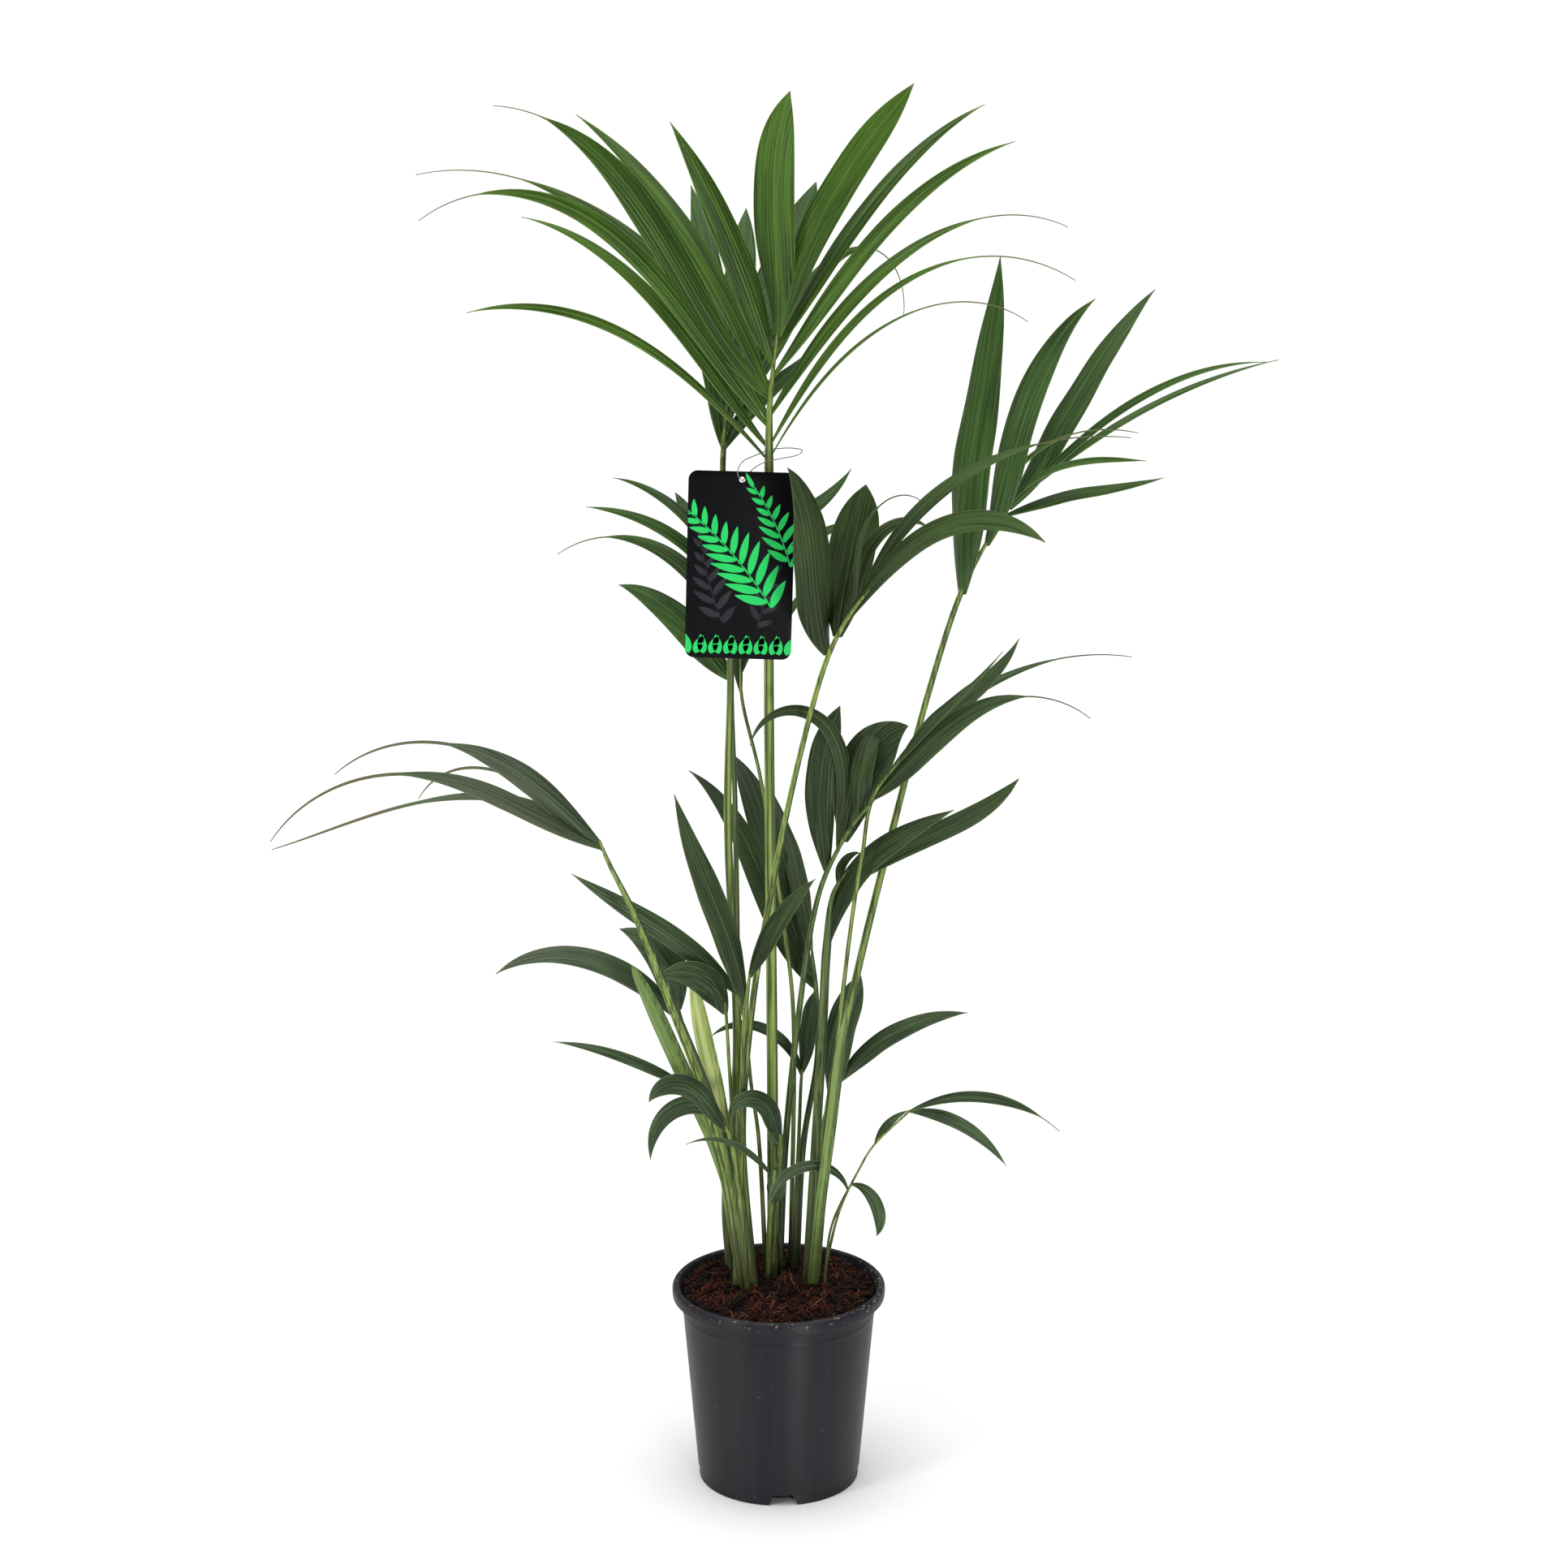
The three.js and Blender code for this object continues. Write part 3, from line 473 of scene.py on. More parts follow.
grown = {"veinGap": 3.2, "midrib": 0.6, "veinShow": 0.22, "relief": 0.5, "rough": 0.46}
# A look's paler tint laid by x place is painted light on the leaflets at one side of the plant.
leafLooks = {
    "fresh": {
        **grown, "colour": "#2e4a13", "light": "#416218", "shade": "#20380e", "base": "#4a672a",
        "vein": "#527425", "dark": "#1b310b", "rib": "#7d9a48", "margin": "#74894a", "dry": "#6a6048"},
    "mature": {
        **grown, "colour": "#2b4619", "light": "#3d5c24", "shade": "#1f3613", "base": "#40602a",
        "vein": "#4a6a30", "dark": "#1a2f11", "rib": "#6a8748", "margin": "#64784a", "dry": "#655c45"},
    # painted shade: the deep look is a darker copy of the leaf finish, for the front frond
    "deep": {
        **grown, "colour": "#1c290d", "light": "#354b1f", "shade": "#141d09", "base": "#2a3d18",
        "vein": "#32451a", "dark": "#0f1807", "rib": "#50683a", "margin": "#4b5b38", "dry": "#5c543f",
        "paintedLight": "#465e2e", "paintedLightSpan": (0.05, 0.2, 0.8)},
    "shaded": {
        "colour": "#243416", "light": "#354525", "shade": "#1a270f", "base": "#394d24",
        "vein": "#40522f", "dark": "#15210c", "rib": "#5a7048", "margin": "#56643f", "dry": "#45442f",
        "paintedLight": "#3d5033", "paintedLightSpan": (0.07, 0.2, 0.7),
        "veinGap": 2.9, "midrib": 0.5, "veinShow": 0.18, "relief": 0.45, "rough": 0.48},
    "low": {
        "colour": "#2a3b21", "light": "#405336", "shade": "#1c2a15", "base": "#3f562a",
        "vein": "#4c6040", "dark": "#18260f", "rib": "#6a8056", "margin": "#667350", "dry": "#655c46",
        "paintedLight": "#535a4a", "paintedLightSpan": (-0.12, -0.24, 0.8),
        "veinGap": 2.9, "midrib": 0.3, "veinShow": 0.14, "relief": 0.4, "rough": 0.46},
    "underside": {
        "colour": "#3a5231", "light": "#4a643d", "shade": "#34492c", "base": "#557040",
        "vein": "#587449", "dark": "#2e4426", "rib": "#7f9660", "margin": "#727f52",
        "dry": "#6f6650", "veinGap": 3.2, "midrib": 0.8, "veinShow": 0.22, "relief": 0.6, "rough": 0.6},
}
leafFinishes = {key: leafFinish("palmCuticle_" + key, look) for key, look in leafLooks.items()}
print("leaf finishes ready")


def petioleFinish(name, look):
    # Rind of a palm petiole: smooth, faintly fibrous skin that is paler along its raised middle, partly
    # as painted light, with painted shade on its back, flanks and one edge and painted light on the
    # other.
    # Its fibres are drawn 2.6 mm apart and 140 mm long, and its blotches 17 by 70 mm.
    material, coords = newMaterial(name)
    front, beside, tone = [
        addNode(material, "Attribute", {"attribute_name": layer}).outputs["Fac"] for layer in limbLayers]
    strands = addNode(material, "Mapping", inputs={"Vector": coords, "Scale": (380.0, 380.0, 7.0)})
    fibres = addNode(material, "TexNoise", inputs={"Vector": strands, "Scale": 1.0, "Detail": 4.0})
    tall = addNode(material, "Mapping", inputs={"Vector": coords, "Scale": (60.0, 60.0, 14.0)})
    blotches = addNode(material, "TexNoise", inputs={"Vector": tall, "Scale": 1.0, "Detail": 2.0})
    level = addNode(material, "SeparateXYZ", inputs={0: coords}).outputs[2]
    # bands run the length of the limb and drift slowly round it, in another place on each limb
    around = addNode(material, "CombineXYZ", inputs={0: front, 1: beside, 2: level})
    apart = addNode(material, "CombineXYZ", inputs={0: tone, 1: tone, 2: tone})
    place = addNode(material, "VectorMath", {"operation": "MULTIPLY_ADD"}, {
        0: apart, 1: (31.0, 17.0, 11.0), 2: around})
    bands = addNode(material, "TexNoise", inputs={"Vector": place, "Scale": 2.6, "Detail": 1.0})

    masks = [
        (tone, 0.0, 1.0, 1.0, "light"), (bands, 0.51, 0.54, 0.7, "side"),
        # the front masks paint shade on the back and flanks, and make the raised middle, which faces
        # forward, paler as both a pale ridge and painted light
        (bands, 0.45, 0.42, 0.7, "ridgeAndPaintedLight"), (front, 0.5, -0.2, 0.85, "side"),
        (front, 0.88, 0.99, 0.45, "ridgeAndPaintedLight"),
        # the beside masks paint shade along one edge and light along the other, as if lit from one side
        (beside, -0.45, -0.78, 0.75, "side"), (beside, 0.55, 0.82, 0.6, "ridgeAndPaintedLight"),
        (fibres, 0.5, 0.6, 0.7, "streak"), (fibres, 0.45, 0.36, 0.5, "ridgeAndPaintedLight"),
        (blotches, 0.5, 0.75, 0.35, "side"),
        (level, look["footTop"] * mm, 0.19, look["footShare"], "foot")]
    return finishSurface(material, {"Base Color": layTints(material, look, masks),
                                    "Roughness": look["rough"], "IOR": 1.45, "Specular IOR Level": 0.4},
                         {"Strength": 0.5, "Distance": 0.0004, "Height": fibres})


petioleLooks = {
    "petiole": {
        "colour": "#42561a", "light": "#5c7428", "side": "#1d2a0c", "ridgeAndPaintedLight": "#8a9e4a",
        "streak": "#28370f", "foot": "#34371b", "footTop": 300, "footShare": 0.75, "rough": 0.45},
    "dull": {
        "colour": "#2f401a", "light": "#425726", "side": "#18240e", "ridgeAndPaintedLight": "#667b3a",
        "streak": "#1c2a10", "foot": "#2a2d18", "footTop": 330, "footShare": 0.8, "rough": 0.48},
    "sheath": {
        "colour": "#8da052", "light": "#a8b768", "side": "#6a7f3a", "ridgeAndPaintedLight": "#c3cd86",
        "streak": "#b5c074", "foot": "#5a6634", "footTop": 300, "footShare": 0.6, "rough": 0.46},
    "sheathDark": {
        "colour": "#3b5220", "light": "#4e692d", "side": "#20300c", "ridgeAndPaintedLight": "#768e48",
        "streak": "#627a3a", "foot": "#363a1c", "footTop": 310, "footShare": 0.7, "rough": 0.46},
    "stem": {
        "colour": "#363d1e", "light": "#485228", "side": "#1a2110", "ridgeAndPaintedLight": "#616c38",
        "streak": "#252b15", "foot": "#2b2a18", "footTop": 245, "footShare": 0.75, "rough": 0.52},
}
petioleFinishes = {key: petioleFinish("petioleRind_" + key, look) for key, look in petioleLooks.items()}
print("petiole finishes ready")

# The plant. route is the stalk from its foot to the rib's tip, and neck the route point where the
# rib starts. widths are at the foot, the neck and the tip. faces is the way the upper sides look.
# A leaflet is its place along the rib, heading, angles above level at root, middle and tip,
# length and width.

fronds = [
    {"name": "top", "tuft": "mid_left", "widths": (10.5, 8, 2), "neck": 3, "faces": (0, -1, 0.35),
     "route": [(-5, 18, 180), (-5.5, 16, 356), (-8.2, 8, 727), (-8, 4, 919), (-7, 6, 978),
               (-1, 18, 1032)],
     "leaflets": [(1, -11, 86, 92, 67, 206, 35, "blunt"),
         (1, 10, 78, 60, 48, 241, 29, "blunt"), (0.89, 40, 51, 41.5, 16, 308, 15),
         (0.69, -30, 52, 47, 17, 311, 15), (0.39, 29, 55, 30, -25, 356, 13, "whip"),
         (0.15, -35, 59, 34.5, -25, 372, 8, "whip"), (0.05, 26, 58, 26.5, -35, 300, 3.5, "whip"),
         (0.79, -155, 73, 66, 57, 226, 27), (0.56, 138, 60, 45, 23, 319, 19),
         (0.54, -149, 42, 55.5, 5, 371, 29, "tail"), (0.36, 158, 60, 33.5, -14, 407, 20, "whip"),
         (0.31, -146, 47, 41, -31, 420, 17, "tail"), (0.14, 164, 49, 46.5, 8, 294, 13),
         (0.04, -148, 48, 31.5, -9, 333, 9, "late")]},
    {"name": "back", "tuft": "left", "widths": (9.5, 5, 2), "neck": 6, "faces": (0.2, -1, 0.5),
     "route": [(-42, 34, 180), (-47, 40, 245), (-37, 44, 383), (-44.5, 40, 603), (-41.5, 38, 746),
               (-47.5, 40, 898), (-47, 44, 928), (-44, 66, 963)],
     "leaflets": [(0, 115, 62, 57, -15, 149, 13), (0.81, 100, 54, 43, 25, 262, 28),
         (0.43, 86, 32, 35, 33, 285, 29, "blunt"), (1, 66, 50, 40, 42, 256, 36, "blunt"),
         (0.75, 52, 28, 30, -98, 339, 17, "whip"), (0, 59, 45, 18, 25, 168, 16)]},
    {"name": "right", "tuft": "right", "widths": (8.5, 5, 2), "neck": 5, "faces": (-0.35, -1, 0.4),
     "route": [(30, 8, 178), (46, 12, 356), (69, 20, 468), (100.5, 32, 600), (130.5, 40, 719),
               (155.5, 44, 800), (171, 48, 833), (198, 60, 877)],
     "leaflets": [(0, 69, 98, 63, 74, 300, 43), (0.56, -40, 72, 68.5, 36, 253, 31),
         (1, 40, 44, 48.5, 31, 245, 31), (0.97, -30, 46, 35.5, 4, 285, 8),
         (1, 26, 37, 22, 6, 296, 7), (0.95, -50, 55, 18.5, 6, 187, 6, "late"),
         (0.9, 40, 13, 0, 3, 197, 14), (0.65, -38, 85, 34, -4, 203, 5, "whip")]},
    {"name": "fore", "tuft": "left", "widths": (7, 4.5, 2), "neck": 5, "faces": (0.15, -1, 0.35),
     "route": [(-21, 8, 177), (-32, 9, 319), (-24, 2, 435), (-10.5, -14, 530), (16.5, -39, 674),
               (41.5, -57, 772), (58, -68, 808), (81, -88, 844)],
     "leaflets": [(0, -133, 65, 82, 44, 176, 38), (0.21, 63, 76, 64, 62, 132, 40, "blunt"),
         (0.39, -43, 53, 30, -25, 255, 18, "blunt"), (0.72, -29, 68, 33, 0, 305, 12, "whip"),
         (0.52, 28, 83, 49, -46, 124, 12), (0.58, 25, 82, 67, -44, 134, 5, "whip")]},
    {"name": "behind_tag", "tuft": "left", "widths": (7, 4, 2), "neck": 3, "faces": (-0.1, -1, 0.45),
     "route": [(-40, 40, 181), (-37, 60, 377), (-38, 60, 597), (-41, 66, 719), (-39, 78, 775),
               (-36, 96, 822)],
     "leaflets": [(0, 150, 43, 36, 2, 139, 28), (0.26, 143, 73, 15, -34, 240, 15, "whip"),
         (0.53, 166, 74, 33, 0, 173, 12), (0.73, 140, 61, 31, -1, 174, 10),
         (0.85, 115, 21, 22, 23, 143, 15, "blunt"), (1, 41, 40, 18, 46, 150, 19),
         (0.45, 26, 42, 37, -33, 172, 11), (0.18, 52, 19, 21, 66, 131, 10)]},
    {"name": "slip", "tuft": "mid_right", "widths": (4.5, 3, 2), "neck": 4, "faces": (0, -1, 0.3),
     "route": [(10.5, 45, 180), (13, 60, 416), (6, 60, 489), (-16, 56, 636), (-32, 52, 709),
               (-33, 50, 744)],
     "leaflets": [(0.1, 150, 84, 78, 73, 115, 12), (0.6, 1, 76, 76, 84, 116, 10)]},
    {"name": "middle", "tuft": "mid_left", "widths": (7, 4.5, 2), "neck": 4, "faces": (0.1, -1, 0.3),
     "route": [(0, 33, 180), (6, 30, 304), (18, 16, 434), (30, 4, 523), (40, -6, 564), (62, -24, 613),
               (82, -42, 644)],
     "leaflets": [(0.02, 25, 101, 87.5, 60, 151, 27, "blunt"),
         (0.4, 31, 77, 62, 0, 125, 44, "late"), (0.3, -155, 97, 61, -79, 205, 14),
         (0.72, 68, 88, 52, -36, 104, 20)]},
    {"name": "lance", "tuft": "right", "widths": (4.5, 3.4, 2), "neck": 4, "faces": (-0.3, -1, 0.5),
     "route": [(33, -3, 180), (54, -10, 440), (66, -20, 550), (72, -24, 589), (80, -32, 641),
               (104, -42, 679)],
     "leaflets": [(0, -33, 44, 34, -30, 250, 23, "whip"),
         (0.34, 22, 54, 21, -13, 268, 10, "whip"), (1, 6, 60, 38, 64, 145, 20),
         (0.76, -39, 52, 45, 49, 164, 6)]},
    {"name": "elbow", "tuft": "right", "widths": (9, 8, 2.5), "neck": 3, "faces": (-0.3, -1, 0.3),
     "route": [(24.5, -2, 179), (34.5, -2, 348), (39, 6, 430), (42, 8, 494), (48, 6, 546),
               (61, 2, 568)],
     "leaflets": [(0.01, -30, 89, 44, 29, 196, 24), (0.59, 5, 52, 24, 49, 195, 19, "blunt"),
         (0.77, 32, 90, 52, -20, 41, 9)]},
    {"name": "twin", "tuft": "left", "widths": (6.5, 5, 2.5), "neck": 2, "faces": (0.1, -1, 0.3),
     "route": [(-35, 11, 183), (-33, -5, 324), (-29, -16, 442), (-25, -22, 481)],
     "leaflets": [(0.16, -130, 78, 63, 70, 231, 25), (0.92, -45, 66, 53, 41, 134, 18)]},
    {"name": "shade", "tuft": "mid_right", "widths": (7, 4.5, 2), "neck": 3, "faces": (0.2, -1, 0.3),
     "route": [(15, 36, 179), (22, 40, 300), (34.5, 48, 381), (33, 56, 442), (29, 66, 478)],
     "leaflets": [(0, 142, 43, 60, 19, 231, 27), (0.3, 117, 34, 55, 22, 229, 34, "blunt"),
         (0.92, 102, 53, 28, 16, 204, 20)]},
    {"name": "arch", "tuft": "left", "widths": (18, 4, 2), "flat": 0.45, "neck": 5,
     "faces": (0.1, -1, 0.5),
     "route": [(-25, -6, 180), (-42, -14, 290), (-65, -22, 376), (-94, -34, 460), (-124, -46, 544),
               (-145, -54, 592), (-152, -60, 613)],
     "leaflets": [(0.82, -158, 48, 27, -38, 272, 23, "lash"),
         (0.52, 145, 37, 9, -57, 231, 8, "lash"), (0.62, -150, 30, 18.5, -52, 337, 18, "lash"),
         (0.6, 178, 52, -9, -18, 304, 8, "lash")]},
    {"name": "wing", "tuft": "left", "widths": (6, 4.5, 2.5), "neck": 3, "faces": (0, -1, 0.3),
     "route": [(-27, 16, 179), (-50, 16, 302), (-73, 16, 378), (-85, 20, 420), (-90, 24, 439)],
     "leaflets": [(0.15, 164, 48, 11, -40, 194, 20), (0.62, 169, 90, 56, 8, 98, 30),
         (1, 104, 90, 62, -20, 86, 20)]},
    {"name": "curl", "tuft": "mid_left", "widths": (4.5, 3, 2), "neck": 3, "faces": (0, -1, 0.3),
     "route": [(-11, 20, 180), (-18, 20, 315), (-24, 19, 361), (-30, 18, 422), (-37, 14, 457)],
     "leaflets": [(0.8, -172, 53, 36, 36, 187, 20)]},
]

lowLeaves = [
    {"name": "low_arch", "tuft": "left", "widths": (4, 3, 2), "neck": 2, "faces": (0, -1, 0.3),
     "route": [(-32, 25, 180), (-43, 10, 374), (-46, 4, 434), (-47, 2, 447)],
     "leaflets": [(0.05, -150, 76, 36, -18, 90, 27)]},
    {"name": "low_left", "tuft": "left", "widths": (4, 3, 2), "neck": 2, "faces": (0, -1, 0.3),
     "route": [(-30, 7, 179), (-46, 6, 290), (-66, 6, 347), (-78, 6, 366)],
     "leaflets": [(0.92, 171, 28, 18, 2, 130, 10)]},
    {"name": "pair", "tuft": "left", "widths": (5.5, 4.5, 2.5), "neck": 2, "faces": (0, -1, 0.4),
     "route": [(-27, -16, 182), (-34, -24, 277), (-42, -30, 332), (-47, -32, 345)],
     "leaflets": [(0.48, -149, 50, 42, -61, 108, 19, "blunt"), (1, 172, 73, -34, -90, 109, 17)]},
    {"name": "hook", "tuft": "mid_left", "widths": (5, 4.5, 3), "neck": 2, "faces": (0, -1, 0.4),
     "route": [(-7, 8, 181), (-1, 0, 275), (2, -4, 313), (2, -6, 327)],
     "leaflets": [(0.21, -152, 73, 42, -108, 93, 19), (0, -151, 56, 54, 52, 21, 10)]},
    {"name": "fold", "tuft": "mid_left", "widths": (6, 5, 3), "neck": 1, "faces": (0, -1, 0.2),
     "route": [(-10, 5, 181), (-7, -6, 260), (-5, -11, 280), (-3, -13, 296)],
     "leaflets": [(0, -51, 61, 79, 94, 42, 17), (0.79, -140, 51, 33, -8, 119, 6)]},
    {"name": "side", "tuft": None, "widths": (2.6, 2, 1.8), "neck": 3, "faces": (-0.2, -1, 0.5),
     "route": [(38, 8, 182), (54, -4, 254), (71, -14, 297), (83, -20, 321), (115, -30, 358)],
     "leaflets": [(1, -17, 33, -1, -40, 144, 10, "tail"), (1, 13, -5, -35, -56, 110, 12),
         (0, -19, 70, 49, 27, 49, 8)]},
    {"name": "low_side", "tuft": None, "widths": (2.6, 2, 1.8), "neck": 2, "faces": (0, -1, 0.4),
     "route": [(40, -6, 182), (46.5, -12, 241), (61, -18, 279), (65, -20, 286)],
     "leaflets": [(0, -163, 74, -5, -80, 101, 10, "late"),
         (0.82, -42, 17, -56, -118, 64, 12, "late")]},
    {"name": "right_low", "tuft": "right", "widths": (4.5, 3.6, 2.5), "neck": 2, "faces": (-0.2, -1, 0.3),
     "route": [(24, 18, 183), (35, 22, 299), (44, 26, 343), (51, 28, 362)],
     "leaflets": [(1, 14, 53, 25, -3, 139, 18), (0.21, 55, 86, 67, 35, 118, 30, "blunt")]},
    {"name": "bud", "tuft": "mid_right", "widths": (4.5, 3, 2), "neck": 2, "faces": (0, -1, 0.2),
     "route": [(12, 28, 178), (18, 28, 312), (20, 28, 366), (21, 28, 375)],
     "leaflets": [(0.69, 44, 79, 79, 78, 73, 17, "blunt"), (0.29, 155, 82, 13, -45, 115, 10)]},
]

sheaths = [
    {"name": "outer", "tuft": "left", "width": 15, "flat": 0.35,
     "route": [(-33, -5, 180), (-35.5, -4, 245), (-54, -8, 316), (-82, -16, 385), (-114, -22, 462),
               (-127, -26, 490)]},
    {"name": "bright", "tuft": "right", "width": 9.5, "flat": 0.4,
     "route": [(29, -4, 180), (37, -30, 272), (45.5, -37, 345), (54, -38, 420), (58.5, -38, 450)]},
    {"name": "pale", "tuft": "left", "width": 16, "flat": 0.35,
     "route": [(-30, 34, 180), (-41, 27, 249), (-56, 25, 357), (-67, 24, 411), (-76, 22, 462)]},
]

tufts = [
    {"name": "left", "centre": (-30.5, 16), "radii": (14, 36)},
    {"name": "mid_left", "centre": (-4.5, 16), "radii": (9, 16)},
    {"name": "mid_right", "centre": (14, 37), "radii": (7.5, 13)},
    {"name": "right", "centre": (29, 6), "radii": (8.5, 14)},
]

soilLevel = 183.8 * mm
splitLevel = 245.5 * mm  # where a tuft parts into single stalks
tuftMeshes = {tuft["name"]: newGridMesh(limbLayers) for tuft in tufts}
tuftKeys = ("stem", "petiole", "dull", "sheath", "sheathDark")
frondLooks = {  # of its leaflets and of its stalk
    "top": ("fresh", "petiole"), "back": ("mature", "petiole"), "right": ("mature", "petiole"),
    "fore": ("deep", "petiole"), "behind_tag": ("mature", "dull"), "slip": ("shaded", "petiole"),
    "middle": ("shaded", "dull"), "lance": ("shaded", "petiole"), "elbow": ("shaded", "dull"),
    "twin": ("shaded", "petiole"), "shade": ("shaded", "dull"), "arch": ("low", "petiole"),
    "wing": ("low", "dull"), "curl": ("low", "petiole"),
}


def cutLimbs(bm, level, keepAbove):
    # cuts level through the limbs and closes the cut ends
    bmesh.ops.bisect_plane(bm, geom=bm.verts[:] + bm.edges[:] + bm.faces[:], dist=1e-6,
                           plane_co=(0, 0, level), plane_no=(0, 0, 1),
                           clear_inner=keepAbove, clear_outer=not keepAbove)
    closeEnds(bm)


def dressFrond(row, nodes, leafKey, limbKey, seed, leafSlot, limbSlot):
    # the petiole runs on as the frond's rib, and the leaflets stand along it
    rng = random.Random(seed)
    line = smoothLine(sunk(row["route"]))
    neck = shareAt(line, row["neck"])
    facing = Vector(row["faces"]).normalized()
    sectionAt = petioleSection(row["widths"], neck, row.get("flat", limbShape["flat"]))
    tone = rng.random()
    limbs = newGridMesh(limbLayers)
    addLimb(limbs, line, sectionAt, tone=tone)
    tuft = row["tuft"]
    cutLimbs(limbs, splitLevel if tuft else soilLevel, keepAbove=True)
    addPiece("petiole_" + row["name"], limbs, [petioleFinishes[limbKey]], [nodes[0]])
    if tuft:
        addLimb(tuftMeshes[tuft], line, sectionAt, tone=tone, finish=tuftKeys.index(limbKey))

    leaflets = newGridMesh(leafLayers)
    for leafletRow in row["leaflets"]:
        place = neck + (1 - neck) * (blade["ribFrom"] + blade["ribShare"] * leafletRow[0])
        addLeaflet(leaflets, pointAt(line, place), facing, leafletRow, rng)
    piece = addPiece("leaflets_" + row["name"], leaflets,
                     [leafFinishes[leafKey], leafFinishes["underside"]], [nodes[1]], 80)
    skin = piece.modifiers.new("thickness", "SOLIDIFY")
    skin.thickness = blade["thickness"] * mm
    skin.offset = -1
    skin.material_offset = 1


for order, row in enumerate(fronds):
    name = row["name"]
    dressFrond(row, ("stalk_" + name, "frond_" + name), *frondLooks[name], 40 + order, "frond", "stalk")
print("fronds ready")

for order, row in enumerate(lowLeaves):
    node = "leaf_" + row["name"]
    dressFrond(row, (node, node), "low", "petiole", 80 + order, "low_leaf", "low_leaf")
print("low leaves ready")


sheathShape = {
    "shoulder": 0.78,  # share of the length where a strip begins to narrow
    "tip": 0.06, "curl": 0.3, "depth": 0.55,
}


def sheathSection(width, flat, shoulder=sheathShape["shoulder"]):
    # a thin strip that curls forward at its edges and ends in a point
    def sectionAt(along, turn):
        over = max(0, (along - shoulder) / (1 - shoulder))
        half = width / 2 * mm * max(sheathShape["tip"], math.sqrt(1 - over ** 2))
        across = math.cos(turn)
        curl = sheathShape["curl"] * across * across * half
        return across * half, math.sin(turn) * half * flat * sheathShape["depth"] + curl
    return sectionAt


# each strip's finish, and its tone from dark to light
sheathLooks = {"outer": ("sheathDark", 0.75), "pale": ("sheath", 0.6), "bright": ("sheathDark", 0.2)}

for row in sheaths:
    name = row["name"]
    look, tone = sheathLooks[name]
    line = smoothLine(sunk(row["route"]))
    sectionAt = sheathSection(row["width"], row["flat"])
    strip = newGridMesh(limbLayers)
    addLimb(strip, line, sectionAt, tone=tone)
    cutLimbs(strip, splitLevel, keepAbove=True)
    addPiece("sheathStrip_" + name, strip, [petioleFinishes[look]], ["sheath_" + name])
    addLimb(tuftMeshes[row["tuft"]], line, sectionAt, tone=tone, finish=tuftKeys.index(look))
print("sheaths ready")

# Leaf bases wrap the foot of each tuft, and lean in as they rise: shares of the tuft's radii in x
# and y, a level, and a share of the strip's height above it.
wraps = {
    "count": 9, "fewer": 5, "high": (16, 44), "width": 7.5, "flat": 0.5, "shoulder": 0.55,
    "unevenTurn": 0.2, "unevenWidth": (0.8, 1.1),
    "slimTuft": 11, "deepTuft": 20,  # radii under and over which the strips are slimmer and more
    "route": [(0.72, 0.78, 178, 0), (0.66, 0.7, 183, 0.4), (0.58, 0.6, 183, 0.75),
              (0.54, 0.54, 183, 1)],
}

for order, tuft in enumerate(tufts):
    bm = tuftMeshes[tuft["name"]]
    cutLimbs(bm, splitLevel, keepAbove=False)
    rng = random.Random(7 + order)
    cx, cy = tuft["centre"]
    rx, ry = tuft["radii"]
    count = wraps["count"] if ry > wraps["deepTuft"] else wraps["fewer"]
    for k in range(count):
        turn = 2 * math.pi * (k + rng.uniform(-wraps["unevenTurn"], wraps["unevenTurn"])) / count
        outX, outY = math.cos(turn), math.sin(turn)
        high = rng.uniform(*wraps["high"])
        line = smoothLine([(cx + rx * wide * outX, cy + ry * deep * outY, level + high * share)
                           for wide, deep, level, share in wraps["route"]])
        width = wraps["width"] * min(1, rx / wraps["slimTuft"]) * rng.uniform(*wraps["unevenWidth"])
        sectionAt = sheathSection(width, wraps["flat"], wraps["shoulder"])
        addLimb(bm, line, sectionAt, Vector((outX, outY, 0)), rng.random())
    addPiece("stems_" + tuft["name"], bm, [petioleFinishes[key] for key in tuftKeys],
             ["stem_" + tuft["name"]])
print("stems ready")

# The pot: one profile spun round the Z axis, with drain notches cut through its foot ring.

potSizes = {
    "height": 184, "rimRadius": 95, "mouthRadius": 88.5, "neckRadius": 86.6, "baseRadius": 72.8,
    "footRadius": 71.6, "footHeight": 10.6, "lipHeight": 11.2, "wall": 1.7, "floorRadius": 56,
    "shelfRise": 0.7,  # of the ring over the drain channel, above the foot
    "notchCount": 3, "notchTop": 17, "notchBottom": 27, "notchShift": 4, "notchHeight": 11.4,
    "notchLevel": 4.7, "notchDepth": 12, "notchOut": 2, "notchCorner": 1.5,
    "cornerLevel": 8, "cornerLength": 14,  # the edges rounded are higher and shorter than these
    "insideStep": 1.4,  # the wall's inside ends this far under the lip
    "ringLevel": 158,  # faint bead left by the stacking ring
    "ringDepth": 0.3,
    "steps": 144,
}


def wallRadius(z):
    # inside radius of the wall
    low = potSizes["footHeight"] + potSizes["shelfRise"]
    high = potSizes["height"] - potSizes["lipHeight"] - potSizes["insideStep"]
    inside = potSizes["baseRadius"] - potSizes["wall"]
    return inside + (potSizes["neckRadius"] - potSizes["wall"] - inside) * (z - low) / (high - low)


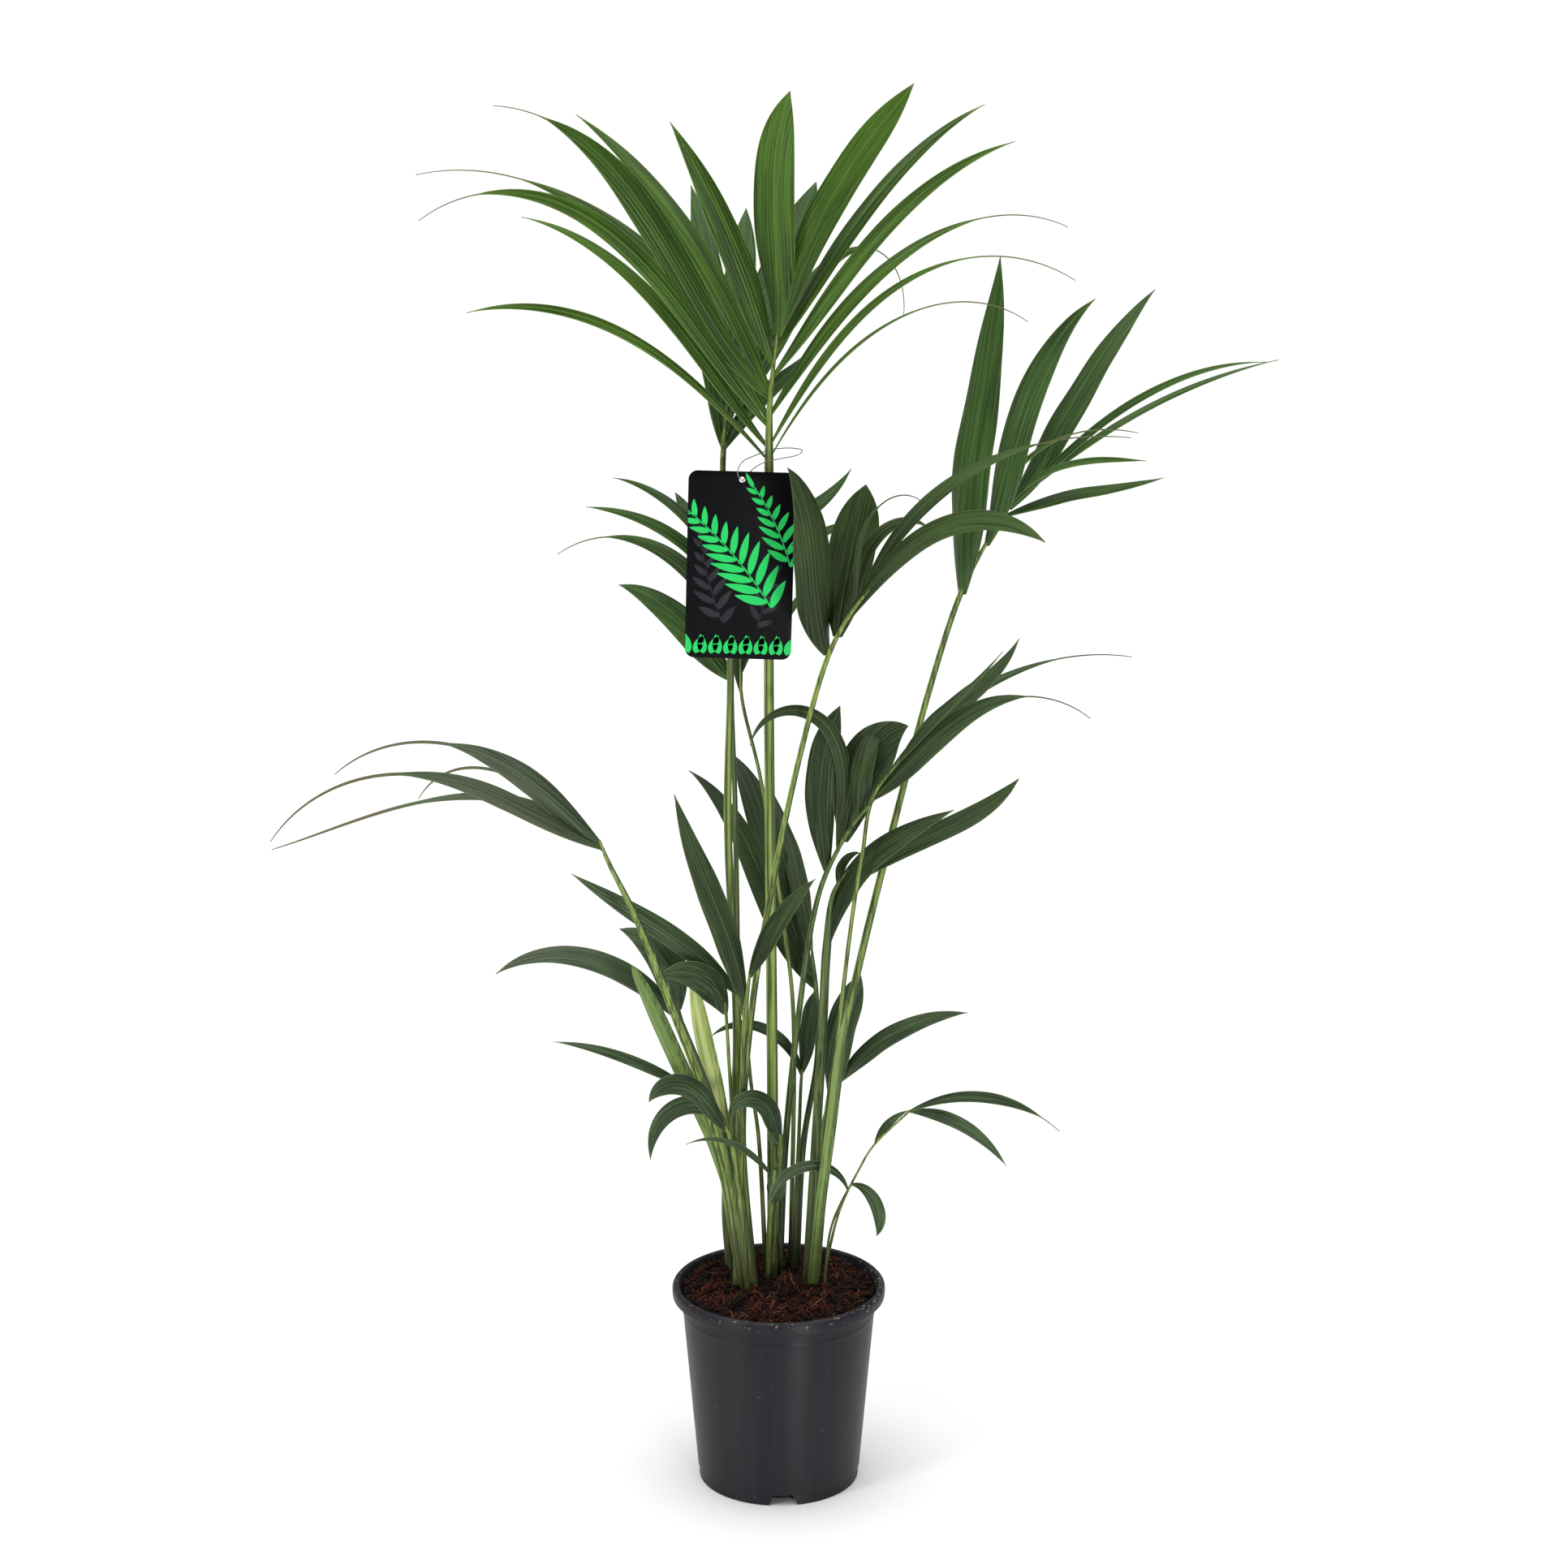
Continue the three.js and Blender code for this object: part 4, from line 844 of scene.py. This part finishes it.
def spinProfile(bm, profile, steps):
    # profile is a closed row of (radius, height), its first and last points on the axis
    verts = [bm.verts.new((radius * mm, 0, z * mm)) for radius, z in profile]
    edges = [bm.edges.new(pair) for pair in zip(verts, verts[1:])]
    bmesh.ops.spin(bm, geom=verts + edges, cent=(0, 0, 0), axis=(0, 0, 1), dvec=(0, 0, 0),
                   angle=2 * math.pi, steps=steps, use_merge=True)
    bmesh.ops.remove_doubles(bm, verts=bm.verts[:], dist=1e-6)
    bmesh.ops.recalc_face_normals(bm, faces=bm.faces[:])


potLook = {"colour": "#131017", "flow": "#1b1720", "wallDust": "#5d564f", "lipDust": "#8d8278",
           "sideDust": "#988f86", "rubbed": "#4a444a"}


def potFinish():
    # Recycled polypropylene, injection moulded: charcoal, satin, with a fine pebbled skin, faint
    # flow marks up the wall and specks of potting dust. The pebble is 0.4 mm, drawn at 0.9 mm, the
    # flow marks are 11 by 200 mm, and the specks up to 4 mm.
    material, coords = newMaterial("mouldedPolypropylene")
    pebble = addNode(material, "TexNoise", inputs={"Vector": coords, "Scale": 1100.0, "Detail": 2.0})
    upright = addNode(material, "Mapping", inputs={"Vector": coords, "Scale": (90.0, 90.0, 5.0)})
    flow = addNode(material, "TexNoise", inputs={"Vector": upright, "Scale": 1.0, "Detail": 4.0})
    specks = addNode(material, "TexNoise", inputs={"Vector": coords, "Scale": 260.0, "Detail": 1.0})
    place = addNode(material, "SeparateXYZ", inputs={0: coords}).outputs
    lipRight = addNode(material, "Math", {"operation": "MULTIPLY_ADD"}, {
        0: place[2], 1: 3.0, 2: place[0]})
    masks = [(flow, 0.35, 0.7, 1.0, "flow")]
    for first, low, high, second, start, end, most, tint in (
            (specks, 0.73, 0.78, flow, 0.45, 0.6, 0.5, "wallDust"),
            (specks, 0.66, 0.72, place[2], 0.174, 0.1836, 0.6, "lipDust"),
            (specks, 0.59, 0.66, lipRight, 0.6, 0.64, 0.5, "sideDust"),
            (place[2], 0.1815, 0.1838, flow, 0.3, 0.7, 0.16, "rubbed")):  # the lip is rubbed pale
        limit = addNode(material, "MapRange", {"interpolation_type": "SMOOTHSTEP"}, {
            "Value": second, "From Min": start, "From Max": end, "To Max": most})
        masks.append((first, low, high, limit, tint))
    rough = addNode(material, "MapRange", inputs={"Value": flow, "To Min": 0.44, "To Max": 0.54})
    # the mould was polished upwards, so a highlight stretches along the wall
    around = addNode(material, "Tangent", {"direction_type": "RADIAL", "axis": "Z"})
    return finishSurface(material, {"Base Color": layTints(material, potLook, masks), "Roughness": rough,
                                    "IOR": 1.49, "Specular IOR Level": 0.3, "Anisotropic": 0.8,
                                    "Anisotropic Rotation": 0.25, "Tangent": around},
                         {"Strength": 0.25, "Distance": 0.0002, "Height": pebble})


def potProfile():
    # up the outside from the middle of the floor, over the lip and down the inside
    height, rim, mouth, neck, base, foot, step, floor, wall, ring, depth = [potSizes[key] for key in (
        "height", "rimRadius", "mouthRadius", "neckRadius", "baseRadius", "footRadius", "footHeight",
        "floorRadius", "wall", "ringLevel", "ringDepth")]
    lip = height - potSizes["lipHeight"]
    shelf, inner = step + potSizes["shelfRise"], lip - potSizes["insideStep"]
    under = shelf - wall
    slope = (neck - base) / (lip - 1.8 - step)
    bead = base + slope * (ring - step)
    return [
        (0, 0), (floor - 0.8, 0), (floor, 0.8), (floor, under), (foot - 2.6, under), (foot - 2.6, 0.4),
        (foot - 2.2, 0), (foot - 0.9, 0), (foot - 0.2, 0.4), (foot, 1.4), (foot, step - 1.2),
        (foot + 0.2, step - 0.5), (base - 0.3, step), (base, step + 0.5), (bead - slope * 4, ring - 4),
        (bead - slope * 0.5, ring - 0.5), (bead + depth, ring), (bead + depth, ring + 0.6),
        (bead + slope * 1.6, ring + 1.6), (bead + slope * 5, ring + 5), (neck + 0.2, lip - 3.4),
        (neck + 0.6, lip - 1.8), (neck + 1.6, lip + 1.4), (rim - 5.1, height - 3.4),
        (rim - 3, height - 3.4), (rim - 2.4, lip + 0.2), (rim - 2.1, lip), (rim - 0.9, lip),
        (rim - 0.4, lip + 0.5),
        (rim - 0.1, lip + 2), (rim, lip + 4.5), (rim, height - 3.6), (rim - 0.5, height - 2),
        (rim - 1.5, height - 0.8), (rim - 3, height - 0.1), (rim - 4, height),
        (mouth + 1.2, height - 0.4), (mouth + 0.4, height - 1.2), (mouth, height - 2.6),
        (wallRadius(inner), inner),
        (wallRadius(shelf), shelf), (floor - wall, shelf), (floor - wall, wall), (0, wall)]


def makePot():
    s = potSizes
    bm = bmesh.new()
    spinProfile(bm, potProfile(), s["steps"])
    pot = addPiece("nurseryPot", bm, [potFinish()], ["pot"], 32)

    # the notches are wedges, wider at the bottom, with their top corners rounded
    cutter = bmesh.new()
    for k in range(s["notchCount"]):
        wedge = bmesh.ops.create_cube(cutter, size=1)["verts"]
        for vert in wedge:
            width = s["notchTop"] if vert.co.z > 0 else s["notchBottom"]
            vert.co = Vector((vert.co.x * width + s["notchShift"],
                              vert.co.y * s["notchDepth"] + s["notchOut"] - s["footRadius"],
                              vert.co.z * s["notchHeight"] + s["notchLevel"])) * mm
        bmesh.ops.rotate(cutter, verts=wedge, cent=(0, 0, 0),
                         matrix=Matrix.Rotation(2 * math.pi * k / s["notchCount"], 3, "Z"))
    topCorners = [edge for edge in cutter.edges if edge.calc_length() < s["cornerLength"] * mm
                  and min(vert.co.z for vert in edge.verts) > s["cornerLevel"] * mm]
    bmesh.ops.bevel(cutter, geom=topCorners, offset=s["notchCorner"] * mm, offset_type="OFFSET",
                    segments=3, profile=0.5, affect="EDGES", material=-1)
    carve(pot, cutter)


makePot()
print("pot ready")

# The soil: coir and bark, level under the stems and lower at the wall.

soilSizes = {
    "top": 183.5, "plateauRadius": 52, "edge": 178.5, "side": 160, "settled": 0.5, "gap": 0.5,
    "rings": 80, "steps": 220, "clod": 5.2, "clodWidth": 11, "crumb": 2.6, "crumbWidth": 3.4,
    "lump": (9, -14, 13), "lumpStretch": (1.2, 0.9), "lumpHeight": 0.82, "lumpGrain": 3,
    "fibres": 1700, "fibreLength": (8, 26), "fibreRadius": (0.16, 0.36), "fibreBend": 1.3,
    "fibreLift": (0.1, 1.4), "fibreTilt": 0.22, "fibreSink": 0.4, "fibreStop": 0.6, "fibreReach": 0.97,
    "chips": 1300, "chipSize": (1.2, 4.2), "chipWidth": (0.5, 0.9), "chipDepth": (0.25, 0.6),
    "chipSink": 0.2, "chipReach": 0.985,
}


def soilHeight(x, y):
    # level of the soil in millimetres, with clods and crumbs
    s = soilSizes
    dip = smoothStep(s["plateauRadius"], wallRadius(s["edge"]), math.hypot(x, y))
    level = s["top"] - s["settled"] - (s["top"] - s["edge"]) * dip
    level += noise.noise(Vector((x / s["clodWidth"], y / s["clodWidth"], 3.1))) * s["clod"]
    level += noise.noise(Vector((x / s["crumbWidth"], y / s["crumbWidth"], 8.4))) * s["crumb"]
    lumpX, lumpY, radius = s["lump"]
    wide, deep = s["lumpStretch"]
    inside = max(0, 1 - math.hypot((x - lumpX) / wide, (y - lumpY) / deep) / radius)
    dome = radius * s["lumpHeight"] * math.sqrt(inside * (2 - inside))
    return level + dome + noise.noise(Vector((x / s["lumpGrain"], y / s["lumpGrain"], 1))) * inside


def soilFinish(name, dark, light, scale):
    # Coir compost: matt, damp and dark, reddish where the husk shows. A scale of 420 gives grains
    # of 2.4 mm, and 700 those of 1.4 mm.
    material, coords = newMaterial(name)
    grain = addNode(material, "TexNoise", inputs={
        "Vector": coords, "Scale": scale, "Detail": 6.0, "Roughness": 0.7})
    colour = layTints(material, {"colour": dark, "light": light}, [(grain, 0.4, 0.66, 1.0, "light")])
    return finishSurface(material, {"Base Color": colour, "Roughness": 0.92, "IOR": 1.45,
                                    "Specular IOR Level": 0.25},
                         {"Strength": 0.8, "Distance": 0.0008, "Height": grain})


def scatter(count, addOne):
    # small batches joined into one mesh, as an operator slows down on a large one
    whole, batch = bmesh.new(), 40
    for start in range(0, count, batch):
        bm = bmesh.new()
        for _ in range(min(batch, count - start)):
            addOne(bm)
        mesh = toMesh("batch", bm)
        whole.from_mesh(mesh)
        bpy.data.meshes.remove(mesh)
    return whole


def spotOnSoil(rng, rim, reach):
    radius = rim * math.sqrt(rng.random()) * reach
    turn = rng.uniform(0, 2 * math.pi)
    return radius * math.cos(turn), radius * math.sin(turn)


def addChip(bm, rng, rim):
    s = soilSizes
    x, y = spotOnSoil(rng, rim, s["chipReach"])
    size = rng.uniform(*s["chipSize"])
    place = Matrix.Translation(Vector((x, y, soilHeight(x, y) + size * s["chipSink"])) * mm)
    for axis in "ZX":
        place = place @ Matrix.Rotation(rng.uniform(0, fullTurn), 4, axis)
    width, depth = size * rng.uniform(*s["chipWidth"]), size * rng.uniform(*s["chipDepth"])
    place = place @ Matrix.Diagonal((size, width, depth, 1))
    chip = bmesh.ops.create_icosphere(bm, subdivisions=1, radius=mm, matrix=place)["verts"]
    setMaterial(chip, rng.choice((0, 0, 1)))


def addFibre(bm, rng, rim):
    # a strand laid over the crumbs, its ends kept inside the pot's wall
    s = soilSizes
    x, y = spotOnSoil(rng, rim, s["fibreReach"])
    length = rng.uniform(*s["fibreLength"]) * rng.uniform(0.5, 1)
    half = rng.uniform(*s["fibreRadius"])
    heading, bend = rng.uniform(0, fullTurn), rng.uniform(-s["fibreBend"], s["fibreBend"])
    lift, tilt = rng.uniform(*s["fibreLift"]), rng.gauss(0, s["fibreTilt"])
    kind = rng.choice((0, 1, 1, 1, 1, 2, 2))
    strand = bmesh.ops.create_grid(bm, x_segments=3, y_segments=5, size=0.5)["verts"]
    for vert in strand:
        along = vert.co.y
        angle = heading + bend * along
        px, py = x + math.cos(angle) * length * along, y + math.sin(angle) * length * along
        inside = min(1, (rim - s["fibreStop"]) / max(math.hypot(px, py), 1e-6))
        px, py = px * inside, py * inside
        ring = (vert.co.x + 0.5) * 2 * math.pi
        ground = soilHeight(px, py)
        rise = max(ground + lift * (1 - 3 * along * along) + tilt * length * along,
                   ground - s["fibreSink"])
        across = math.cos(ring) * half
        vert.co = Vector((px - math.sin(angle) * across, py + math.cos(angle) * across,
                          rise + math.sin(ring) * half)) * mm
    setMaterial(strand, kind)
    bmesh.ops.remove_doubles(bm, verts=strand, dist=1e-7)
    closeEnds(bm)


def makeSoil():
    s = soilSizes
    rim = wallRadius(s["edge"]) - s["gap"]
    profile = [(rim * i / s["rings"], s["top"]) for i in range(s["rings"] + 1)]
    profile += [(wallRadius(s["side"]) - s["gap"], s["side"]), (0, s["side"])]
    bm = bmesh.new()
    spinProfile(bm, profile, s["steps"])
    for vert in bm.verts:
        x, y, z = vert.co / mm
        if z > s["top"] - 1:
            vert.co.z = soilHeight(x, y) * mm
    compost = soilFinish("coirCompost", "#070303", "#190b07", 420.0)
    addPiece("soilBed", bm, [compost], ["soil"], 180)

    rng = random.Random(11)
    chips = scatter(s["chips"], lambda bm: addChip(bm, rng, rim))
    finishes = [soilFinish("barkChipDark", "#0a0504", "#1d0f0a", 500.0),
                soilFinish("barkChipRed", "#1c0b06", "#38180d", 500.0)]
    addPiece("soilChips", chips, finishes, [], 20)
    fibres = scatter(s["fibres"], lambda bm: addFibre(bm, rng, rim))
    finishes = [soilFinish("coirFibrePale", "#7c4c2c", "#b0835a", 700.0),
                soilFinish("coirFibreRed", "#561f0d", "#8a4022", 700.0),
                soilFinish("coirFibreDark", "#1a0b07", "#341a10", 700.0)]
    addPiece("soilFibres", fibres, finishes, [], 180)


makeSoil()
print("soil ready")

# The plant tag: a laminated card with a plain leaf pattern, hung on a looped string.

tagSizes = {
    "width": 90, "height": 161, "thickness": 1, "corner": 8, "edge": 0.18, "holeRadius": 2.5,
    "holeDrop": 7, "centre": (-32.3, -22, 842.5), "lean": 1.6,
    "print": 0.06,  # how far the printed film stands off the card
    "margin": 0.4,  # bare strip along the card's edge
}
# Sprigs in the card's own millimetres: foot, heading of the stem, its length, leaf length, pairs.
# An ink of 1 is the grey one, which lies below the green.
sprigs = [
    {"ink": 1, "foot": (-14, -50), "heading": 112, "bend": -14, "stem": 74, "leaf": 24, "width": 6.5,
     "pairs": 6},
    {"ink": 1, "foot": (16, -52), "heading": 78, "bend": -12, "stem": 46, "leaf": 18, "width": 5.5,
     "pairs": 4},
    {"ink": 0, "foot": (27, -36), "heading": 122, "bend": 20, "stem": 112, "leaf": 36, "width": 7.6,
     "pairs": 10},
    {"ink": 0, "foot": (42, 0), "heading": 106, "bend": 20, "stem": 74, "leaf": 25, "width": 6.2,
     "pairs": 7},
]
# How a sprig's leaves shrink towards its tip, and how far they stand out from its stem.
sprigShape = {"shrink": 0.45, "slim": 0.4, "least": 0.75, "early": 1.6, "spread": 52, "close": 16,
              "stemWidth": 1.1, "overlap": 1.6, "end": 0.6, "curve": 0.1, "swell": 0.8}
bandLeaves = {"count": 7, "level": -69.5, "length": 17, "width": 8, "shift": 3,
              "pairGap": 5.4, "drop": 0.42, "splay": 16.8}


def printFinish(name, colour, shade, rough):
    # Printed card under clear film: flat ink below a glossy skin with faint scuffs, 1 by 25 mm.
    material, coords = newMaterial(name)
    cloud = addNode(material, "TexNoise", inputs={"Vector": coords, "Scale": 60.0, "Detail": 4.0})
    drawn = addNode(material, "Mapping", inputs={
        "Vector": coords, "Rotation": (0.0, 0.6, 0.0), "Scale": (900.0, 900.0, 40.0)})
    scuffs = addNode(material, "TexNoise", inputs={"Vector": drawn, "Scale": 1.0, "Detail": 2.0})
    mixed = addNode(material, "Mix", {"data_type": "RGBA"}, {
        0: cloud, 6: toLinear(colour), 7: toLinear(shade)}).outputs[2]
    roughness = addNode(material, "MapRange", inputs={
        "Value": scuffs, "From Min": 0.5, "From Max": 0.75, "To Min": rough, "To Max": rough + 0.2})
    return finishSurface(material, {"Base Color": mixed, "Roughness": roughness, "IOR": 1.5,
                                    "Specular IOR Level": 0.08})


def placeOnTag(bm):
    # from the card's own plane, x right and y up with z to the front, to its place on the string
    lean = Matrix.Rotation(math.radians(tagSizes["lean"]), 4, "Y")
    upright = Matrix.Rotation(math.radians(90), 4, "X")
    place = Matrix.Translation(Vector(tagSizes["centre"]) * mm)
    bmesh.ops.transform(bm, matrix=place @ (lean @ upright), verts=bm.verts[:])


def addPrintedLeaf(bm, root, heading, length, width, ink):
    s = tagSizes
    height = s["thickness"] / 2 + s["print"] * (0.5 if ink else 1)
    grid = bmesh.ops.create_grid(bm, x_segments=2, y_segments=12, size=0.5)["verts"]
    lead = Vector((math.cos(heading), math.sin(heading), 0))
    side = Vector((lead.y, -lead.x, 0))
    right, top = s["width"] / 2 - s["margin"], s["height"] / 2 - s["margin"]
    for vert in grid:
        along = vert.co.y + 0.5
        swell = sprigShape["swell"]
        across = vert.co.x * width * math.sin(math.pi * min(1, along ** swell)) ** swell
        curved = sprigShape["curve"] * length * along * along
        spot = root + lead * (length * along) + side * (across + curved)
        vert.co = Vector((min(max(spot.x, -right), right), min(max(spot.y, -top), top), height)) * mm
    setMaterial(grid, ink)
    bmesh.ops.remove_doubles(bm, verts=grid, dist=1e-6)


def addSprig(bm, sprig):
    s = sprigShape
    ink, stem, leaf, wide = [sprig[key] for key in ("ink", "stem", "leaf", "width")]
    spot = Vector((*sprig["foot"], 0))
    steps = sprig["pairs"] * 2
    for i in range(steps):
        along = i / steps
        heading = math.radians(sprig["heading"] + sprig["bend"] * along)
        grown = s["least"] + (1 - s["least"]) * math.sin(math.pi * min(1, along * s["early"]))
        size = leaf * (1 - s["shrink"] * along) * grown
        turn = math.radians(s["spread"] - s["close"] * along) * (1 if i % 2 else -1)
        addPrintedLeaf(bm, spot, heading + turn, size, wide * (1 - s["slim"] * along), ink)
        addPrintedLeaf(bm, spot, heading, stem / steps * s["overlap"], s["stemWidth"], ink)
        spot += Vector((math.cos(heading), math.sin(heading), 0)) * (stem / steps)
    last = math.radians(sprig["heading"] + sprig["bend"])
    addPrintedLeaf(bm, spot, last, leaf * s["end"], wide * s["end"], ink)


def makeTag():
    s = tagSizes
    width, height = s["width"], s["height"]
    bm = bmesh.new()
    size = Matrix.Diagonal((width * mm, height * mm, s["thickness"] * mm, 1))
    bmesh.ops.create_cube(bm, size=1, matrix=size)
    corners = [edge for edge in bm.edges if abs(edge.verts[0].co.z - edge.verts[1].co.z) > 0.5 * mm]
    bmesh.ops.bevel(bm, geom=corners, offset=s["corner"] * mm, offset_type="OFFSET", segments=12,
                    profile=0.5, affect="EDGES", material=-1)
    rims = [edge for edge in bm.edges if len(edge.link_faces) == 2 and edge.calc_face_angle() > 1.2]
    bmesh.ops.bevel(bm, geom=rims, offset=s["edge"] * mm, offset_type="OFFSET", segments=2,
                    profile=0.5, affect="EDGES", material=-1)
    placeOnTag(bm)
    film = printFinish("laminatedCardBlack", "#040407", "#08080c", 0.34)
    card = addPiece("plantTag", bm, [film], ["tag"], 40)

    punch = bmesh.new()
    radius = s["holeRadius"] * mm
    place = Matrix.Translation(Vector((0, height / 2 - s["holeDrop"], 0)) * mm)
    bmesh.ops.create_cone(punch, cap_ends=True, segments=32, radius1=radius, radius2=radius,
                          depth=6 * mm, matrix=place)
    placeOnTag(punch)
    carve(card, punch)

    bm = bmesh.new()
    for sprig in sprigs:
        addSprig(bm, sprig)
    b = bandLeaves
    for i in range(b["count"]):
        x = -width / 2 + width * (i + 0.5) / b["count"] - b["shift"]
        for turn in (1, -1):
            root = Vector((x + b["pairGap"] * (turn < 0), b["level"] - b["length"] * b["drop"], 0))
            heading = math.radians(90 + turn * b["splay"])
            addPrintedLeaf(bm, root, heading, b["length"], b["width"], 0)
    placeOnTag(bm)
    inks = [printFinish("filmInkGreen", "#23b857", "#2ec766", 0.34),
            printFinish("filmInkGrey", "#232327", "#303036", 0.34)]
    addPiece("tagPrint", bm, inks, [], 180)


makeTag()
print("tag ready")

stringLook = {
    "radius": 0.45, "steps": 240, "sides": 10, "near": 0.002, "dark": "#54524e", "light": "#8b8983",
    "route": [(-29.5, -25, 915), (-34, -25, 921), (-31, -16, 929), (-18, 0, 933), (-6, 13, 935),
              (11, 9, 937), (20, 0, 936.5), (16, -7, 934), (0, -9, 931), (-13, -11, 928),
              (-22, -15, 923), (-29.5, -19, 915)],
}


def stringFinish():
    # Braided polyester elastic: grey, matt, with the twist of its strands showing as a fine ripple
    # of 0.6 mm.
    material, coords = newMaterial("braidedElastic")
    strands = addNode(material, "TexWave", inputs={
        "Vector": coords, "Scale": 500.0, "Distortion": 1.5}).outputs[1]
    colour = addNode(material, "Mix", {"data_type": "RGBA"}, {
        0: strands, 6: toLinear(stringLook["dark"]), 7: toLinear(stringLook["light"])}).outputs[2]
    return finishSurface(material, {"Base Color": colour, "Roughness": 0.6},
                         {"Strength": 0.5, "Distance": 0.0002, "Height": strands})


def makeString():
    line = smoothLine(stringLook["route"], closed=True)
    radius, steps, near = stringLook["radius"] * mm, stringLook["steps"], stringLook["near"]
    bm = bmesh.new()
    grid = bmesh.ops.create_grid(bm, x_segments=stringLook["sides"], y_segments=steps, size=0.5)["verts"]
    ahead, rings = Vector((0, 0, 1)), []
    for i in range(steps + 1):
        share = (i % steps) / steps
        tangent = (pointAt(line, (share + near) % 1) - pointAt(line, (share - near) % 1)).normalized()
        ahead = squareTo(tangent, ahead) if i < steps else rings[0][2]
        rings.append((pointAt(line, share), ahead.cross(tangent), ahead))
    for vert in grid:
        centre, side, front = rings[round((vert.co.y + 0.5) * steps)]
        turn = (vert.co.x + 0.5) * 2 * math.pi
        vert.co = centre + side * math.cos(turn) * radius + front * math.sin(turn) * radius
    bmesh.ops.remove_doubles(bm, verts=grid, dist=2e-5)
    bmesh.ops.recalc_face_normals(bm, faces=bm.faces[:])
    addPiece("tagLoop", bm, [stringFinish()], ["tag_string"], 180)


makeString()
print("string ready")

bpy.context.view_layer.update()
print("scene ready")
